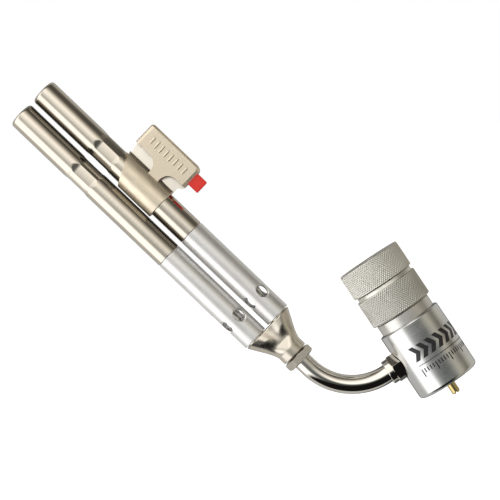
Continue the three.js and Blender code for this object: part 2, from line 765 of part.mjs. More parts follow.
function igniterBracket() {
  const half = HOUSING_HALF_WIDTH;
  const sleeve = tube(BRACKET_RADIUS, TUBE_RADIUS + GAP, BRACKET_REAR, HOUSING_FRONT);
  const slant = new THREE.BoxGeometry(60, 40, 30);
  slant.translate(0, 0, 15);
  slant.rotateY(THREE.MathUtils.degToRad(-24));
  slant.translate(9.2, 0, 154.9);
  const shell = sheetPiece(housingOutline(0, HOUSING_BOTTOM), -half, half);
  const hollow = sheetPiece(housingOutline(SHEET, HOUSING_BOTTOM - 1), SHEET - half, half - SHEET);
  const hole = BUTTON_SIDE / 2 + GAP;
  const buttonHole = block(
    BUTTON_HEIGHT - hole, BUTTON_HEIGHT + hole, -hole, hole, HOUSING_REAR - 1, HOUSING_REAR + 2,
  );
  const sleeveCut = geometryOf(solid(sleeve).subtract(solid(slant)));
  return carved(
    [
      carved([shell], [hollow, buttonHole]),
      sheetPiece(backOutline(), half - SHEET, half),
      sheetPiece(webOutline(), -half, SHEET - half),
      sleeveCut,
    ],
    [spoke(ELECTRODE_HOLE + GAP, 6, 12, ELECTRODE_AT)],
  );
}

function igniterButton() {
  const half = BUTTON_SIDE / 2;
  const low = BUTTON_HEIGHT - half;
  const high = BUTTON_HEIGHT + half;
  const cap = block(low, high, -half, half, BUTTON_REAR, HOUSING_REAR + 2);
  const wide = half + BUTTON_FLANGE;
  const flange = block(
    low - BUTTON_FLANGE, high + BUTTON_FLANGE, -wide, wide, HOUSING_REAR + SHEET + GAP, BUTTON_FRONT,
  );
  return carved([cap, flange]);
}

function piezoBody() {
  const shell = block(18.4, 28.9, -4.5, 4.5, PIEZO_REAR, PIEZO_FRONT);
  const bore = rod(PIEZO_BORE, PIEZO_REAR - 1, PIEZO_FRONT - 2);
  bore.translate(BUTTON_HEIGHT, 0, 0);
  return carved([shell], [bore]);
}

function atButtonHeight(geometry) {
  geometry.translate(BUTTON_HEIGHT, 0, 0);
  return geometry;
}

function piezoPlunger() {
  return atButtonHeight(rod(PLUNGER_RADIUS, BUTTON_FRONT + GAP, PLUNGER_END));
}

function piezoSpring() {
  return atButtonHeight(
    spring(PIEZO_SPRING_RADIUS, PIEZO_SPRING_WIRE, BUTTON_FRONT + GAP, PIEZO_REAR - GAP, 4),
  );
}

function electrodeInsulator() {
  const ceramicTube = tube(ELECTRODE_HOLE - 0.3, 0.9, 4.5, 16.4, COARSE);
  ceramicTube.rotateY(Math.PI / 2);
  ceramicTube.translate(0, 0, ELECTRODE_AT);
  return ceramicTube;
}

function electrode() {
  const path = new THREE.CatmullRomCurve3([
    new THREE.Vector3(16.6, 0, ELECTRODE_AT),
    new THREE.Vector3(9, 0, ELECTRODE_AT),
    new THREE.Vector3(3.6, 0, ELECTRODE_AT),
    new THREE.Vector3(2.4, 0, ELECTRODE_AT + 2),
  ]);
  return swept(path, 0.5, 6, 8);
}

function ignitionWire() {
  const path = new THREE.CatmullRomCurve3([
    new THREE.Vector3(20, 0, PIEZO_FRONT + GAP),
    new THREE.Vector3(19.4, 0, PIEZO_FRONT + 2),
    new THREE.Vector3(17.5, 0, PIEZO_FRONT + 1.4),
    new THREE.Vector3(17.3, 0, PIEZO_FRONT - 4),
    new THREE.Vector3(17.3, 0, ELECTRODE_AT + 0.8),
  ]);
  return swept(path, 0.55, 4, 14);
}

function piece(name, geometry, material) {
  const mesh = new THREE.Mesh(geometry, material);
  mesh.name = name;
  return mesh;
}

const torch = new THREE.Group();

torch.add(
  piece("valve_body", valveBody(), satinAluminium()),
  piece("inlet_pin", inletPin(), brass()),
  piece("inlet_seal", tube(7.5, PIN_RADIUS + 1.5, SOCKET_DEPTH - 2.3, SOCKET_DEPTH - GAP, COARSE), rubber()),
  piece("inlet_filter", rod(POCKET_RADIUS - GAP, WEB_TOP + GAP, FILTER_TOP), springSteel()),
  piece("poppet_spring", spring(1.8, 0.3, FILTER_TOP + GAP, POPPET_HEAD_BOTTOM - GAP, 2), springSteel()),
  piece("valve_poppet", valvePoppet(), brass()),
  piece("valve_seat", valveSeat(), brass()),
  piece("diaphragm", diaphragm(), rubber()),
  piece("diaphragm_plate", rod(PLATE_RADIUS, DIAPHRAGM_TOP + GAP, PLATE_TOP, MEDIUM), springSteel()),
  piece("regulator_spring", regulatorSpring(), springSteel()),
  piece("spring_cap", springCap(), springSteel()),
  piece("bonnet", bonnet(), satinAluminium()),
  piece("bonnet_ring", bonnetRing(), knurledAluminium()),
  piece("spindle", spindle(), brass()),
  piece("control_knob", controlKnob(), knurledAluminium()),
  piece("knob_circlip", knobCirclip(), springSteel()),
  piece("knob_cap", knobCap(), satinAluminium()),
);

const sideUnion = new THREE.Group();
sideUnion.position.set(0, 0, UNION_HEIGHT);
sideUnion.rotation.y = -Math.PI / 2;
sideUnion.add(
  piece("body_nipple", bodyNipple(), nickel()),
  piece("union_seal", tube(5.9, 3.2, NIPPLE_END + GAP, TUBE_START - GAP, COARSE), rubber()),
  piece("union_nut", unionNut(), nickel()),
);
torch.add(sideUnion);

torch.add(piece("neck_tube", neckTube(), nickel()));

const burner = new THREE.Group();
burner.position.copy(BURNER_START);
burner.rotation.y = BURNER_TILT;
burner.add(
  piece("burner_nut", burnerNut(), warmNickel()),
  piece("manifold_seal", tube(NECK_TUBE_RADIUS, 3.6, 13.45, 13.75, COARSE), rubber()),
  piece("manifold", manifold(), warmNickel()),
);

for (const [name, side, turn] of [["inner", 1, INNER_HOLE_TURN], ["outer", -1, OUTER_HOLE_TURN]]) {
  const line = new THREE.Group();
  line.position.x = (side * TUBE_SPACING) / 2;
  const pressed = burnerTube();
  const sparkHole = spoke(ELECTRODE_HOLE, 5, 10, ELECTRODE_AT);
  line.add(
    piece(`${name}_gas_jet`, gasJet(), brass()),
    piece(`${name}_mixer_sleeve`, mixerSleeve(turn), satinAluminium()),
    piece(`${name}_burner_tube`, side > 0 ? carved([pressed], [sparkHole]) : pressed, stainless()),
    piece(`${name}_flame_holder`, flameHolder(), springSteel()),
  );
  burner.add(line);
}

const igniter = new THREE.Group();
igniter.position.x = TUBE_SPACING / 2;
igniter.add(
  piece("igniter_bracket", igniterBracket(), warmNickel()),
  piece("igniter_button", igniterButton(), redPlastic()),
  piece("piezo_plunger", piezoPlunger(), blackPlastic()),
  piece("piezo_spring", piezoSpring(), springSteel()),
  piece("piezo_body", piezoBody(), blackPlastic()),
  piece("piezo_crystal", atButtonHeight(rod(PLUNGER_RADIUS, CRYSTAL_REAR, PIEZO_FRONT - 2.3)), ceramic()),
  piece("electrode_insulator", electrodeInsulator(), ceramic()),
  piece("electrode", electrode(), springSteel()),
  piece("ignition_wire", ignitionWire(), springSteel()),
);
burner.add(igniter);
torch.add(burner);

export default torch;
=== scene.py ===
"""The looks of a twin-tube gas torch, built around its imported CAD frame.

Lengths in the named values are millimetres in the CAD part's frame and become metres when a mesh is
made. The burner frame's +Z runs towards the tips and its +X towards the knob, as on the CAD part.
"""

import json
from math import acos, atan2, ceil, cos, pi, radians, sin, tan

import bpy
import bmesh
from mathutils import Matrix, Vector


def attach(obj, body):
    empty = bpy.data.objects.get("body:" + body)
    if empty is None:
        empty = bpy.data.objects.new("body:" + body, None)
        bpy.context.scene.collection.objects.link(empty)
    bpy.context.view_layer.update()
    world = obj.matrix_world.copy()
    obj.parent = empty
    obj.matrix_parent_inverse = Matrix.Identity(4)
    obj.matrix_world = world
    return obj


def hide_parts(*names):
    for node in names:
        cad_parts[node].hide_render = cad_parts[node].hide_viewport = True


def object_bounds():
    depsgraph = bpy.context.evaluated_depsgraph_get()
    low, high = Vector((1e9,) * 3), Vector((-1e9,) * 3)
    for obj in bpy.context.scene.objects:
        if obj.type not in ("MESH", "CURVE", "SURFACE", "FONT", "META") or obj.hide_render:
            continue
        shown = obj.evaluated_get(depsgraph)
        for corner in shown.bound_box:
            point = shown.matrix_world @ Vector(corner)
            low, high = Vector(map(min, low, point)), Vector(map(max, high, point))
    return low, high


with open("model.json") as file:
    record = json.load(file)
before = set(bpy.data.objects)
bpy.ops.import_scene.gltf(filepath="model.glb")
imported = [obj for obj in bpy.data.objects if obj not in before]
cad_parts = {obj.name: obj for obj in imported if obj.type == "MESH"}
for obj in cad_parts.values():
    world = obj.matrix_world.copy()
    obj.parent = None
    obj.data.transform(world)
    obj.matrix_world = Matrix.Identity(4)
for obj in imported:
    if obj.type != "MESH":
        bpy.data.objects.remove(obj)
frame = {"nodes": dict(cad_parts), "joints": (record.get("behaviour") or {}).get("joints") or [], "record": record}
cad_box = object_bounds()

MM = 0.001
# The clearance between neighbouring pieces.
GAP = 0.3

# Valve body, bonnet and knob.
BODY_RADIUS = 19.25
BODY_TOP = 42.2
BODY_FOOT_ROUND = 2.3
LEDGE_HEIGHT = 36
LEDGE_RADIUS = 16.6
CHAMBER_FLOOR = 19
CHAMBER_RADIUS = 9
CHAMBER_SPRING_RADIUS = 12
CHAMBER_TOP = 58
POCKET_RADIUS = 4.6
SOCKET_RADIUS = 12.1
SOCKET_DEPTH = 11
SOCKET_RELIEF = 0.9
THREAD_DEPTH = 0.7
THREAD_PITCH = 1.27
SPOTFACE_RADIUS = 9.2
SPOTFACE_AT = 15
PORT_RADIUS = 6.5
WEB_TOP = 13
NECK_RADIUS = 17.2
RING_BOTTOM = 49.4
RING_TOP = 66.1
RING_RADIUS = 19.3
SHOULDER_RADIUS = 17.85
KNOB_BOTTOM = 68.9
KNOB_TOP = 84.4
KNOB_RADIUS = 19.45
HUB_RADIUS = 6.5
HUB_BORE = 3.2
HUB_FOOT = 73.9
KNOB_WALL = 3
KNOB_ROOF = 4
CAP_RECESS = 2.2
BOSS_RADIUS = 8.5
BOSS_TOP = 73.6
BOSS_BORE = 4.3
RING_BORE = 8.8
PIN_RADIUS = 2.5
PIN_TIP = -8.1
PIN_BORE = 0.9
SEAL_RADIUS = 7.5
KNURL_ACROSS = 1.42
KNURL_ALONG = 2.1
KNURL_DEPTH = 0.46

# Label: heights, and lengths round the wall from the middle of the front.
LABEL_LOW = 7.2
LABEL_HIGH = 34.6
LABEL_START = -12.5
LABEL_END = 42
RULE_LOW = 18.0
RULE_HIGH = 18.4
FILM = 0.05
PRINT_START = -11.0
CHEVRON_LOW = 20.8
CHEVRON_HIGH = 29.7
CHEVRON_WIDTH = 3.1
CHEVRON_PITCH = 5.3
CHEVRON_LEAN = 2.8
CHEVRONS = 9
TICK_LOW = 11.0
TICK_HIGH = 15.9
TICK_PITCH = 1.9
TICK_WIDTH = 0.7

# Painted shade on the burner tubes' facing sides, outwards from where they come closest: where it starts
# to fade, where it ends, and the share of the steel's colour that it leaves.
GAP_SHADE_FULL = 1.2
GAP_SHADE_NONE = 4.4
GAP_SHADE = 0.5

# Side union and neck.
UNION_HEIGHT = 23.4
UNION_CORNERS = 17.2
UNION_HEX_END = 23.5
UNION_HEX_TURN = radians(-73)
COLLAR_RADIUS = 7.35
COLLAR_END = 26.9
NECK_TUBE_RADIUS = 5.5
NECK_TUBE_BORE = 4
NECK_BEND_RADIUS = 36
NECK_CORNER_X = -56.5
TUBE_START = 18.5
TUBE_SHOULDER_RADIUS = 6.2
SHOULDER_SEAT = 21.5

# Burner.
BURNER_START = Vector((-64, 0, 57))
BURNER_NUT_LENGTH = 4.9
BURNER_NUT_CORNERS = 18.4
MANIFOLD_START = 5.5
MANIFOLD_END = 27.7
MANIFOLD_NECK = 8.4
MANIFOLD_FLARE = 10.2
MANIFOLD_WIDTH = 16.7
MANIFOLD_DEPTH = 8.0
MANIFOLD_WAIST = 6.6
MANIFOLD_VALLEY = 0.5
SOCKET_END = 14
TUBE_SPACING = 18.5
SPIGOT_RADIUS = 6.1
SPIGOT_END = 36
SLEEVE_START = 28.3
SLEEVE_END = 97.3
SLEEVE_BORE = 6.5
TUBE_RADIUS = 8
TUBE_BORE = 7.4
AIR_HOLE_RADIUS = 3.6
AIR_HOLE_AT = 44.6
JET_HOLE_START = 24
JET_HOLE_RADIUS = 4.2
JET_BORE = 0.6
SPARK_HOLE_AT = 135.2
SHEET_FOOT = 7.4
JET_RADIUS = 3
JET_END = 51
BURNER_TUBE_START = 97.6
BURNER_TIP = 215.7
TUBE_LIP = 1.9
FLATS_START = 158.2
FLATS_END = 169.2
FLATS_TIP_LEAD = 5.0
FLATS_NUT_LEAD = 3.0
FLATS_DEPTH = 0.42
FLATS_COUNT = 8
FLATS_CROWN = 0.6
HOLDER_RADIUS = 6.2
HOLDER_BORE = 5.4
HOLDER_HUB = 1.9
HOLDER_TWIST = radians(55)

# Igniter: heights from the inner burner tube's axis, lengths along it.
BRACKET_RADIUS = 9.9
BRACKET_REAR = 121
SHEET = 1.2
BACK_FRONT = 154
BACK_HEEL = 13.2
SLANT_AT = Vector((9.2, 0, 154.9))
SLANT = radians(-24)
HOUSING_HALF = 6
HOUSING_REAR = 117.8
HOUSING_FRONT = 156.5
HOUSING_BOTTOM = 16.1
HOUSING_TOP = 30.6
HOUSING_BEND = 2.2
HOUSING_BACK_BEND = 1.0
WEB_REAR = 131.4
WEB_FRONT = 138.8
RIBS = 8
RIBS_FROM = 124.5
RIB_PITCH = 3.6
RIB_WIDTH = 1.5
RIB_LENGTH = 5.2
BUTTON_SIDE = 8.4
BUTTON_HEIGHT = 23.05
BUTTON_REAR = 110.6
BUTTON_FRONT = 121.4

# The burner's direction is the button's joint axis, and its frame turns about Y.
button_axis = next(Vector(j["axis"]) for j in frame["joints"] if j["name"] == "button_press")
BURNER_TILT = atan2(button_axis.x, button_axis.z)
BURNER = Matrix.Translation(BURNER_START) @ Matrix.Rotation(BURNER_TILT, 4, "Y")
INNER = BURNER @ Matrix.Translation((TUBE_SPACING / 2, 0, 0))
OUTER = BURNER @ Matrix.Translation((-TUBE_SPACING / 2, 0, 0))
UNION = Matrix.Translation((0, 0, UNION_HEIGHT)) @ Matrix.Rotation(-pi / 2, 4, "Y")
BODY = Matrix.Identity(4)


# ---- materials


# Where noise starts and stops changing a colour or roughness, and the share of most colours that is kept.
NOISE_SPREAD = (0.3, 0.7)
DIM = 0.8


class Nodes:
    """A node tree with a few calls that add to it. Values are numbers, vectors or other nodes' sockets."""

    def __init__(self, tree):
        self.tree = tree

    def put(self, socket, value):
        if isinstance(value, bpy.types.NodeSocket):
            self.tree.links.new(value, socket)
        else:
            socket.default_value = value

    def node(self, kind, *values, **named):
        """A node whose settings and inputs are named, or whose inputs are given in their order."""
        made = self.tree.nodes.new("ShaderNode" + kind)
        for key, value in named.items():
            socket = key.replace("_", " ")
            if socket in made.inputs:
                self.put(made.inputs[socket], value)
            else:
                setattr(made, key, value)
        for socket, value in zip(made.inputs, values):
            self.put(socket, value)
        return made

    def position(self):
        return self.node("TexCoord").outputs["Object"]

    def math(self, operation, *values):
        return self.node("Math", *values, operation=operation).outputs[0]

    def dot(self, vector, axis):
        return self.node("VectorMath", vector, axis, operation="DOT_PRODUCT").outputs["Value"]

    def fade(self, value, start, end, low=0.0, high=1.0, kind="SMOOTHSTEP"):
        """Goes from low to high as the value goes from start to end."""
        ends = {"From_Min": start, "From_Max": end, "To_Min": low, "To_Max": high}
        return self.node("MapRange", interpolation_type=kind, Value=value, **ends).outputs["Result"]

    def ramp(self, factor, stops):
        made = self.node("ValToRGB", Fac=factor)
        elements = made.color_ramp.elements
        while len(elements) < len(stops):
            elements.new(0.5)
        for element, (place, color) in zip(elements, stops):
            element.position = place
            element.color = (*color, 1)
        return made.outputs["Color"]


class Shader(Nodes):
    """A Principled material with calls that add noise to its colour, roughness and surface."""

    def __init__(self, name, color, roughness, metallic=0.0):
        self.material = bpy.data.materials.new(name)
        self.material.use_nodes = True
        super().__init__(self.material.node_tree)
        self.inputs = self.tree.nodes["Principled BSDF"].inputs
        self.color = color
        self.normal = None
        self.inputs["Base Color"].default_value = (*color, 1)
        self.inputs["Roughness"].default_value = roughness
        self.inputs["Metallic"].default_value = metallic

    def noise(self, per_mm, detail=2.0, stretch=(1, 1, 1), turn=(0, 0, 0), rough=0.5):
        """Noise over object coordinates that are turned and then stretched."""
        at = self.node("Mapping", self.position(), vector_type="TEXTURE", Rotation=turn, Scale=stretch)
        made = self.node("TexNoise", at.outputs[0], Scale=per_mm / MM, Detail=detail, Roughness=rough)
        return made.outputs["Fac"]

    def vary_color(self, factor, low, high):
        """Colour goes from low to high times the base colour over the middle of the factor's range."""
        shades = [[min(1, share * c) for c in self.color] for share in (low, high)]
        self.put(self.inputs["Base Color"], self.ramp(factor, list(zip(NOISE_SPREAD, shades))))

    def vary_roughness(self, factor, low, high):
        self.put(self.inputs["Roughness"], self.fade(factor, *NOISE_SPREAD, low, high, "LINEAR"))

    def bump(self, factor, depth_mm):
        """Adds a bump of that depth to those already made."""
        made = self.node("Bump", Strength=1.0, Distance=depth_mm * MM, Height=factor)
        if self.normal:
            self.put(made.inputs["Normal"], self.normal)
        self.normal = made.outputs["Normal"]
        self.put(self.inputs["Normal"], self.normal)


def turned_metal(name, color, roughness, lines, depth, turn=(0, 0, 0), metallic=1.0):
    """Metal turned on a lathe: fine rings round the axis, and a slow change of gloss along it."""
    made = Shader(name, color, roughness, metallic)
    made.bump(made.noise(1, 3.0, (40, 40, 1 / lines), turn), depth)
    cloud = made.noise(0.09, 3.0, (1, 1, 1), turn)
    made.vary_roughness(cloud, roughness * 0.85, roughness * 1.2)
    made.vary_color(cloud, 0.96, 1.03)
    return made


def burner_steel(*args):
    """Polished steel with painted shade, which darkens its colour along the sides where the two tubes face each
    other.
    """
    made = turned_metal(*args)
    bare = made.inputs["Base Color"].links[0].from_socket
    towards = Vector((cos(BURNER_TILT), 0, -sin(BURNER_TILT)))
    offset = made.dot(made.position(), towards)
    gap = made.math("ABSOLUTE", made.math("SUBTRACT", offset, towards.dot(BURNER_START) * MM))
    edge = TUBE_SPACING / 2 - TUBE_RADIUS
    # Painted shade: the steel's colour is darkened close to the gap between the two tubes.
    gap_shade = made.fade(gap, (edge + GAP_SHADE_FULL) * MM, (edge + GAP_SHADE_NONE) * MM, GAP_SHADE)
    shaded = made.node("VectorMath", bare, operation="SCALE", Scale=gap_shade)
    made.put(made.inputs["Base Color"], shaded.outputs["Vector"])
    return made


def plated_metal(name, color, roughness, wave=0.02, grain=0.0, metallic=1.0):
    """Plated or polished metal: slightly uneven, with faint fine marks."""
    made = Shader(name, color, roughness, metallic)
    if wave:
        made.bump(made.noise(0.12, 1.0), wave)
    if grain:
        made.bump(made.noise(4, 3.0), grain)
    cloud = made.noise(0.15, 4.0, rough=0.6)
    made.vary_roughness(cloud, roughness * 0.8, roughness * 1.35)
    made.vary_color(cloud, 0.95, 1.04)
    return made


def knurled_metal(name, color, roughness):
    """Aluminium whose colour is lighter on the knurl's crests and darker in its grooves."""
    made = Shader(name, color, roughness, 1.0)
    made.bump(made.noise(4, 3.0), 0.006)
    flat = made.node("VectorMath", made.position(), (1, 1, 0), operation="MULTIPLY").outputs["Vector"]
    radius = made.node("VectorMath", flat, operation="LENGTH").outputs["Value"]
    height = made.fade(radius, (KNOB_RADIUS - 1) * MM, KNOB_RADIUS * MM, kind="LINEAR")
    shades = ((0.20, 0.95), (0.32, 0.62), (0.55, 0.70), (0.80, 1.0), (1.0, 1.08))
    stops = [(place, [min(1, shade * c) for c in color]) for place, shade in shades]
    made.put(made.inputs["Base Color"], made.ramp(height, stops))
    made.vary_roughness(made.noise(0.15, 4.0, rough=0.6), roughness * 0.85, roughness * 1.25)
    return made


def moulded_plastic(name, color, roughness, grain=0.01):
    made = Shader(name, color, roughness)
    made.bump(made.noise(2.5), grain)
    made.vary_roughness(made.noise(0.5, 3.0), roughness * 0.85, roughness * 1.25)
    made.vary_color(made.noise(0.2, 3.0), 0.93, 1.05)
    return made


def dimmed(*color):
    """A piece's own colour, held down to suit the tent's strong light."""
    return tuple(DIM * c for c in color)


# Lines up a mapping with the burner's axis.
ALONG_BURNER = (0, BURNER_TILT, 0)


LOOKS = {
    "body": turned_metal("body_aluminium", dimmed(0.8, 0.8, 0.785), 0.19, 3.0, 0.010),
    "bonnet": turned_metal("bonnet_aluminium", dimmed(0.82, 0.8, 0.76), 0.34, 3.0, 0.016),
    "knurl": knurled_metal("knurled_aluminium", (0.83, 0.81, 0.745), 0.44),
    "sleeve": turned_metal("sleeve_aluminium", (0.76, 0.75, 0.735), 0.31, 3.0, 0.010, ALONG_BURNER, 0.82),
    "stainless": burner_steel(
        "polished_stainless", dimmed(0.78, 0.715, 0.615), 0.15, 3.0, 0.015, ALONG_BURNER,
    ),
    "nickel": plated_metal("bright_nickel", dimmed(0.86, 0.82, 0.75), 0.04, 0.006),
    "cast": plated_metal("cast_nickel", dimmed(0.86, 0.79, 0.68), 0.27, 0.012, 0.003),
    "nut": plated_metal("nut_nickel", dimmed(0.66, 0.61, 0.53), 0.24, 0.02, 0.003),
    "sheet": plated_metal("satin_nickel_sheet", (0.79, 0.695, 0.545), 0.36, 0.008, 0.0012, 0.88),
    # A brighter, glossier copy of the sheet's nickel: painted light for the back plate's inner face, lifting it
    # out of the shade inside the housing.
    "inside": plated_metal("painted_lit_nickel_sheet", (0.86, 0.81, 0.72), 0.18, 0.005, 0.001),
    "brass": turned_metal("turned_brass", dimmed(0.72, 0.56, 0.25), 0.12, 2.0, 0.003),
    "jet": turned_metal("jet_steel", dimmed(0.74, 0.72, 0.69), 0.10, 2.0, 0.003, ALONG_BURNER),
    "steel": plated_metal("spring_steel", dimmed(0.52, 0.52, 0.53), 0.28, 0.0, 0.004),
    "rubber": moulded_plastic("black_rubber", dimmed(0.03, 0.03, 0.03), 0.62, 0.02),
    "red": moulded_plastic("red_plastic", (0.60, 0.016, 0.006), 0.34, 0.008),
    "black": moulded_plastic("black_plastic", dimmed(0.03, 0.03, 0.03), 0.42),
    "ceramic": moulded_plastic("white_ceramic", dimmed(0.86, 0.84, 0.79), 0.30, 0.004),
    "film": turned_metal("label_foil", dimmed(0.77, 0.77, 0.77), 0.19, 2.0, 0.008),
    "ink": moulded_plastic("label_ink", (0.008, 0.008, 0.009), 0.34, 0.001),
}


# ---- mesh making


def smooth_step(x):
    x = max(0, min(1, x))
    return x * x * (3 - 2 * x)


def linked(name, data):
    made = bpy.data.objects.new(name, data)
    bpy.context.scene.collection.objects.link(made)
    return made


def make_object(name, vertices, faces, sharp=35):
    """A mesh object from points in millimetres, smooth but for edges over the sharp angle, in degrees."""
    mesh = bpy.data.meshes.new(name)
    mesh.from_pydata([tuple(v) for v in vertices], [], faces)
    made = linked(name, mesh)
    clean(made)
    soften(made, sharp)
    return made


def clean(made):
    """Merges doubled points, drops faces with no area and turns all faces outwards."""
    bm = bmesh.new()
    bm.from_mesh(made.data)
    bmesh.ops.remove_doubles(bm, verts=bm.verts, dist=1e-5)
    bmesh.ops.dissolve_degenerate(bm, edges=bm.edges, dist=1e-6)
    bmesh.ops.recalc_face_normals(bm, faces=bm.faces)
    bm.to_mesh(made.data)
    bm.free()


def soften(made, sharp):
    made.data.shade_smooth()
    made.data.set_sharp_from_angle(angle=radians(sharp))


def place(made, matrix, material, body, replaced=(), slot=None):
    """Takes a mesh from its own frame, in millimetres, to the row's, in metres, and gives it to a body."""
    made.data.transform(Matrix.Scale(MM, 4) @ matrix)
    made.data.update()
    normals = made.modifiers.new("normals", "WEIGHTED_NORMAL")
    normals.keep_sharp = True
    applied(made, normals)
    made.data.materials.clear()
    made.data.materials.append(LOOKS[material].material)
    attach(made, body)
    if replaced:
        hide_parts(*replaced)


def applied(made, modifier):
    """Bakes one modifier into the mesh."""
    bpy.context.view_layer.update()
    evaluated = made.evaluated_get(bpy.context.evaluated_depsgraph_get())
    baked = bpy.data.meshes.new_from_object(evaluated)
    made.modifiers.remove(modifier)
    old = made.data
    made.data = baked
    bpy.data.meshes.remove(old)


def cut(made, tool, operation="DIFFERENCE", sharp=35):
    """Cuts or joins with another object, which is then removed."""
    modifier = made.modifiers.new("cut", "BOOLEAN")
    modifier.operation = operation
    modifier.solver = "EXACT"
    modifier.object = tool
    applied(made, modifier)
    mesh = tool.data
    bpy.data.objects.remove(tool)
    bpy.data.meshes.remove(mesh)
    soften(made, sharp)
    return made


def bevelled(made, width, segments):
    modifier = made.modifiers.new("bevel", "BEVEL")
    modifier.width = width
    modifier.segments = segments
    modifier.limit_method = "ANGLE"
    modifier.angle_limit = radians(35)
    applied(made, modifier)
    soften(made, 35)
    return made


def rounded(profile, steps):
    """A profile of (radius, height, corner radius) points with each corner turned into an arc."""
    points = [Vector(p[:2]) for p in profile]
    made = []
    for i, (point, (_, _, *corner)) in enumerate(zip(points, profile)):
        if not corner:
            made.append(point)
            continue
        to_last = (points[i - 1] - point).normalized()
        to_next = (points[(i + 1) % len(points)] - point).normalized()
        half = acos(max(-1, min(1, to_last.dot(to_next)))) / 2
        reach = corner[0] / tan(half)
        centre = point + (to_last + to_next).normalized() * (corner[0] / sin(half))
        start = point + to_last * reach - centre
        end = to_next * reach + point - centre
        sweep = (pi - 2 * half) * (1 if start.x * end.y > start.y * end.x else -1)
        for k in range(steps + 1):
            a = sweep * k / steps
            spot = start.x * cos(a) - start.y * sin(a), start.x * sin(a) + start.y * cos(a)
            made.append(centre + Vector(spot))
    return made


def circle(radius, z, count):
    """Points round the Z axis at one height."""
    return [(radius * cos(2 * pi * k / count), radius * sin(2 * pi * k / count), z) for k in range(count)]


def arc(x, y, radius, start, end, steps=10):
    """Points round a corner from one angle to another, in degrees."""
    angles = [radians(start + (end - start) * i / steps) for i in range(steps + 1)]
    return [(x + radius * cos(a), y + radius * sin(a)) for a in angles]


def turned(name, profile, segments=128, steps=5):
    """A profile turned about Z. It closes on itself, or starts and ends on the axis."""
    points = rounded(profile, steps)
    on_axis = points[0].x < 1e-6 and points[-1].x < 1e-6
    vertices = []
    for k in range(segments):
        angle = 2 * pi * k / segments
        vertices += [(p.x * cos(angle), p.x * sin(angle), p.y) for p in points]
    count = len(points)
    spans = count - 1 if on_axis else count
    faces = []
    for k in range(segments):
        here, there = k * count, ((k + 1) % segments) * count
        for i in range(spans):
            j = (i + 1) % count
            faces.append((here + i, there + i, there + j, here + j))
    return make_object(name, vertices, faces)


def rod(name, radius, low, high, segments=96):
    return turned(name, [(0, low), (radius, low), (radius, high), (0, high)], segments)


def outwards(made, height, angle):
    """Turns a piece made along Z so that it runs outwards from that axis."""
    made.data.transform(
        Matrix.Translation((0, 0, height)) @ Matrix.Rotation(angle, 4, "Z") @ Matrix.Rotation(pi / 2, 4, "Y")
    )
    return made


def radial_rod(name, radius, start, end, height, angle, segments=96):
    """A rod that runs outwards from the Z axis."""
    return outwards(rod(name, radius, start, end, segments), height, angle)


def block(name, x, y, z):
    """A box between pairs of coordinates, used as a cutter or as the start of a bevelled piece."""
    vertices = [(a, b, c) for a in x for b in y for c in z]
    faces = [(0, 1, 3, 2), (4, 6, 7, 5), (0, 4, 5, 1), (2, 3, 7, 6), (0, 2, 6, 4), (1, 5, 7, 3)]
    return make_object(name, vertices, faces)


def stacked(rings, loops=False):
    """Points and faces that join rings of the same number of points, with a flat end on an open stack."""
    count = len(rings[0])
    faces = []
    for row in range(len(rings) if loops else len(rings) - 1):
        here, there = row * count, (row + 1) % len(rings) * count
        for i in range(count):
            j = (i + 1) % count
            faces.append((here + i, here + j, there + j, there + i))
    if not loops:
        last = (len(rings) - 1) * count
        faces += [tuple(reversed(range(count))), tuple(range(last, last + count))]
    return [p for ring in rings for p in ring], faces


def skin(name, rings, loops=False, sharp=35):
    return make_object(name, *stacked(rings, loops), sharp)


def joined(name, parts, sharp):
    """One object made of parts that are each points and faces."""
    vertices, faces = [], []
    for points, part_faces in parts:
        base = len(vertices)
        vertices += points
        faces += [tuple(base + i for i in face) for face in part_faces]
    return make_object(name, vertices, faces, sharp)


def prism(name, outline, low, high):
    """A flat outline of (x, y) points pushed from one height to another."""
    return skin(name, [[(x, y, z) for x, y in outline] for z in (low, high)])


def chamfered_nut(name, corners, low, high, turn, both=True):
    """A hexagon whose corners are turned down by a 30 degree cone at one or both ends."""
    face = corners * cos(pi / 6) / 2 - 0.15
    reach = corners / 2 + 1
    drop = (reach - face) * tan(radians(30))
    foot = [(face, low), (reach, low + drop)] if both else [(reach, low)]
    cone = [(0, low), *foot, (reach, high - drop), (face, high), (0, high)]
    angles = [turn + i * pi / 3 for i in range(6)]
    nut = prism(name, [(corners / 2 * cos(a), corners / 2 * sin(a)) for a in angles], low, high)
    bevelled(nut, 0.12, 2)
    return cut(nut, turned("cone", cone, 192), "INTERSECT", 20)


# ---- valve body


def build_inlet_thread():
    """A ring with a real thread cut along its bore."""
    low, high = 0.7, SOCKET_DEPTH - 0.6
    segments = 144
    rows = int((high - low) / THREAD_PITCH * 8)
    rings = []
    for row in range(rows + 1):
        z = low + (high - low) * row / rows
        fade = min(1, (z - low) / THREAD_PITCH, (high - z) / THREAD_PITCH)
        ring = []
        for k in range(segments):
            angle = 2 * pi * k / segments
            phase = ((z - low) / THREAD_PITCH - angle / (2 * pi)) % 1
            crest = abs(2 * phase - 1)
            r = SOCKET_RADIUS + THREAD_DEPTH * max(0, min(1, 1.25 * crest - 0.12)) * max(0, fade)
            ring.append((r * cos(angle), r * sin(angle), z))
        rings.append(ring)
    rings += [circle(SOCKET_RADIUS + SOCKET_RELIEF - 0.02, z, segments) for z in (high, low)]
    thread = skin("inlet_thread", rings, loops=True, sharp=50)
    place(thread, BODY, "body", "valve", slot="body_aluminium")


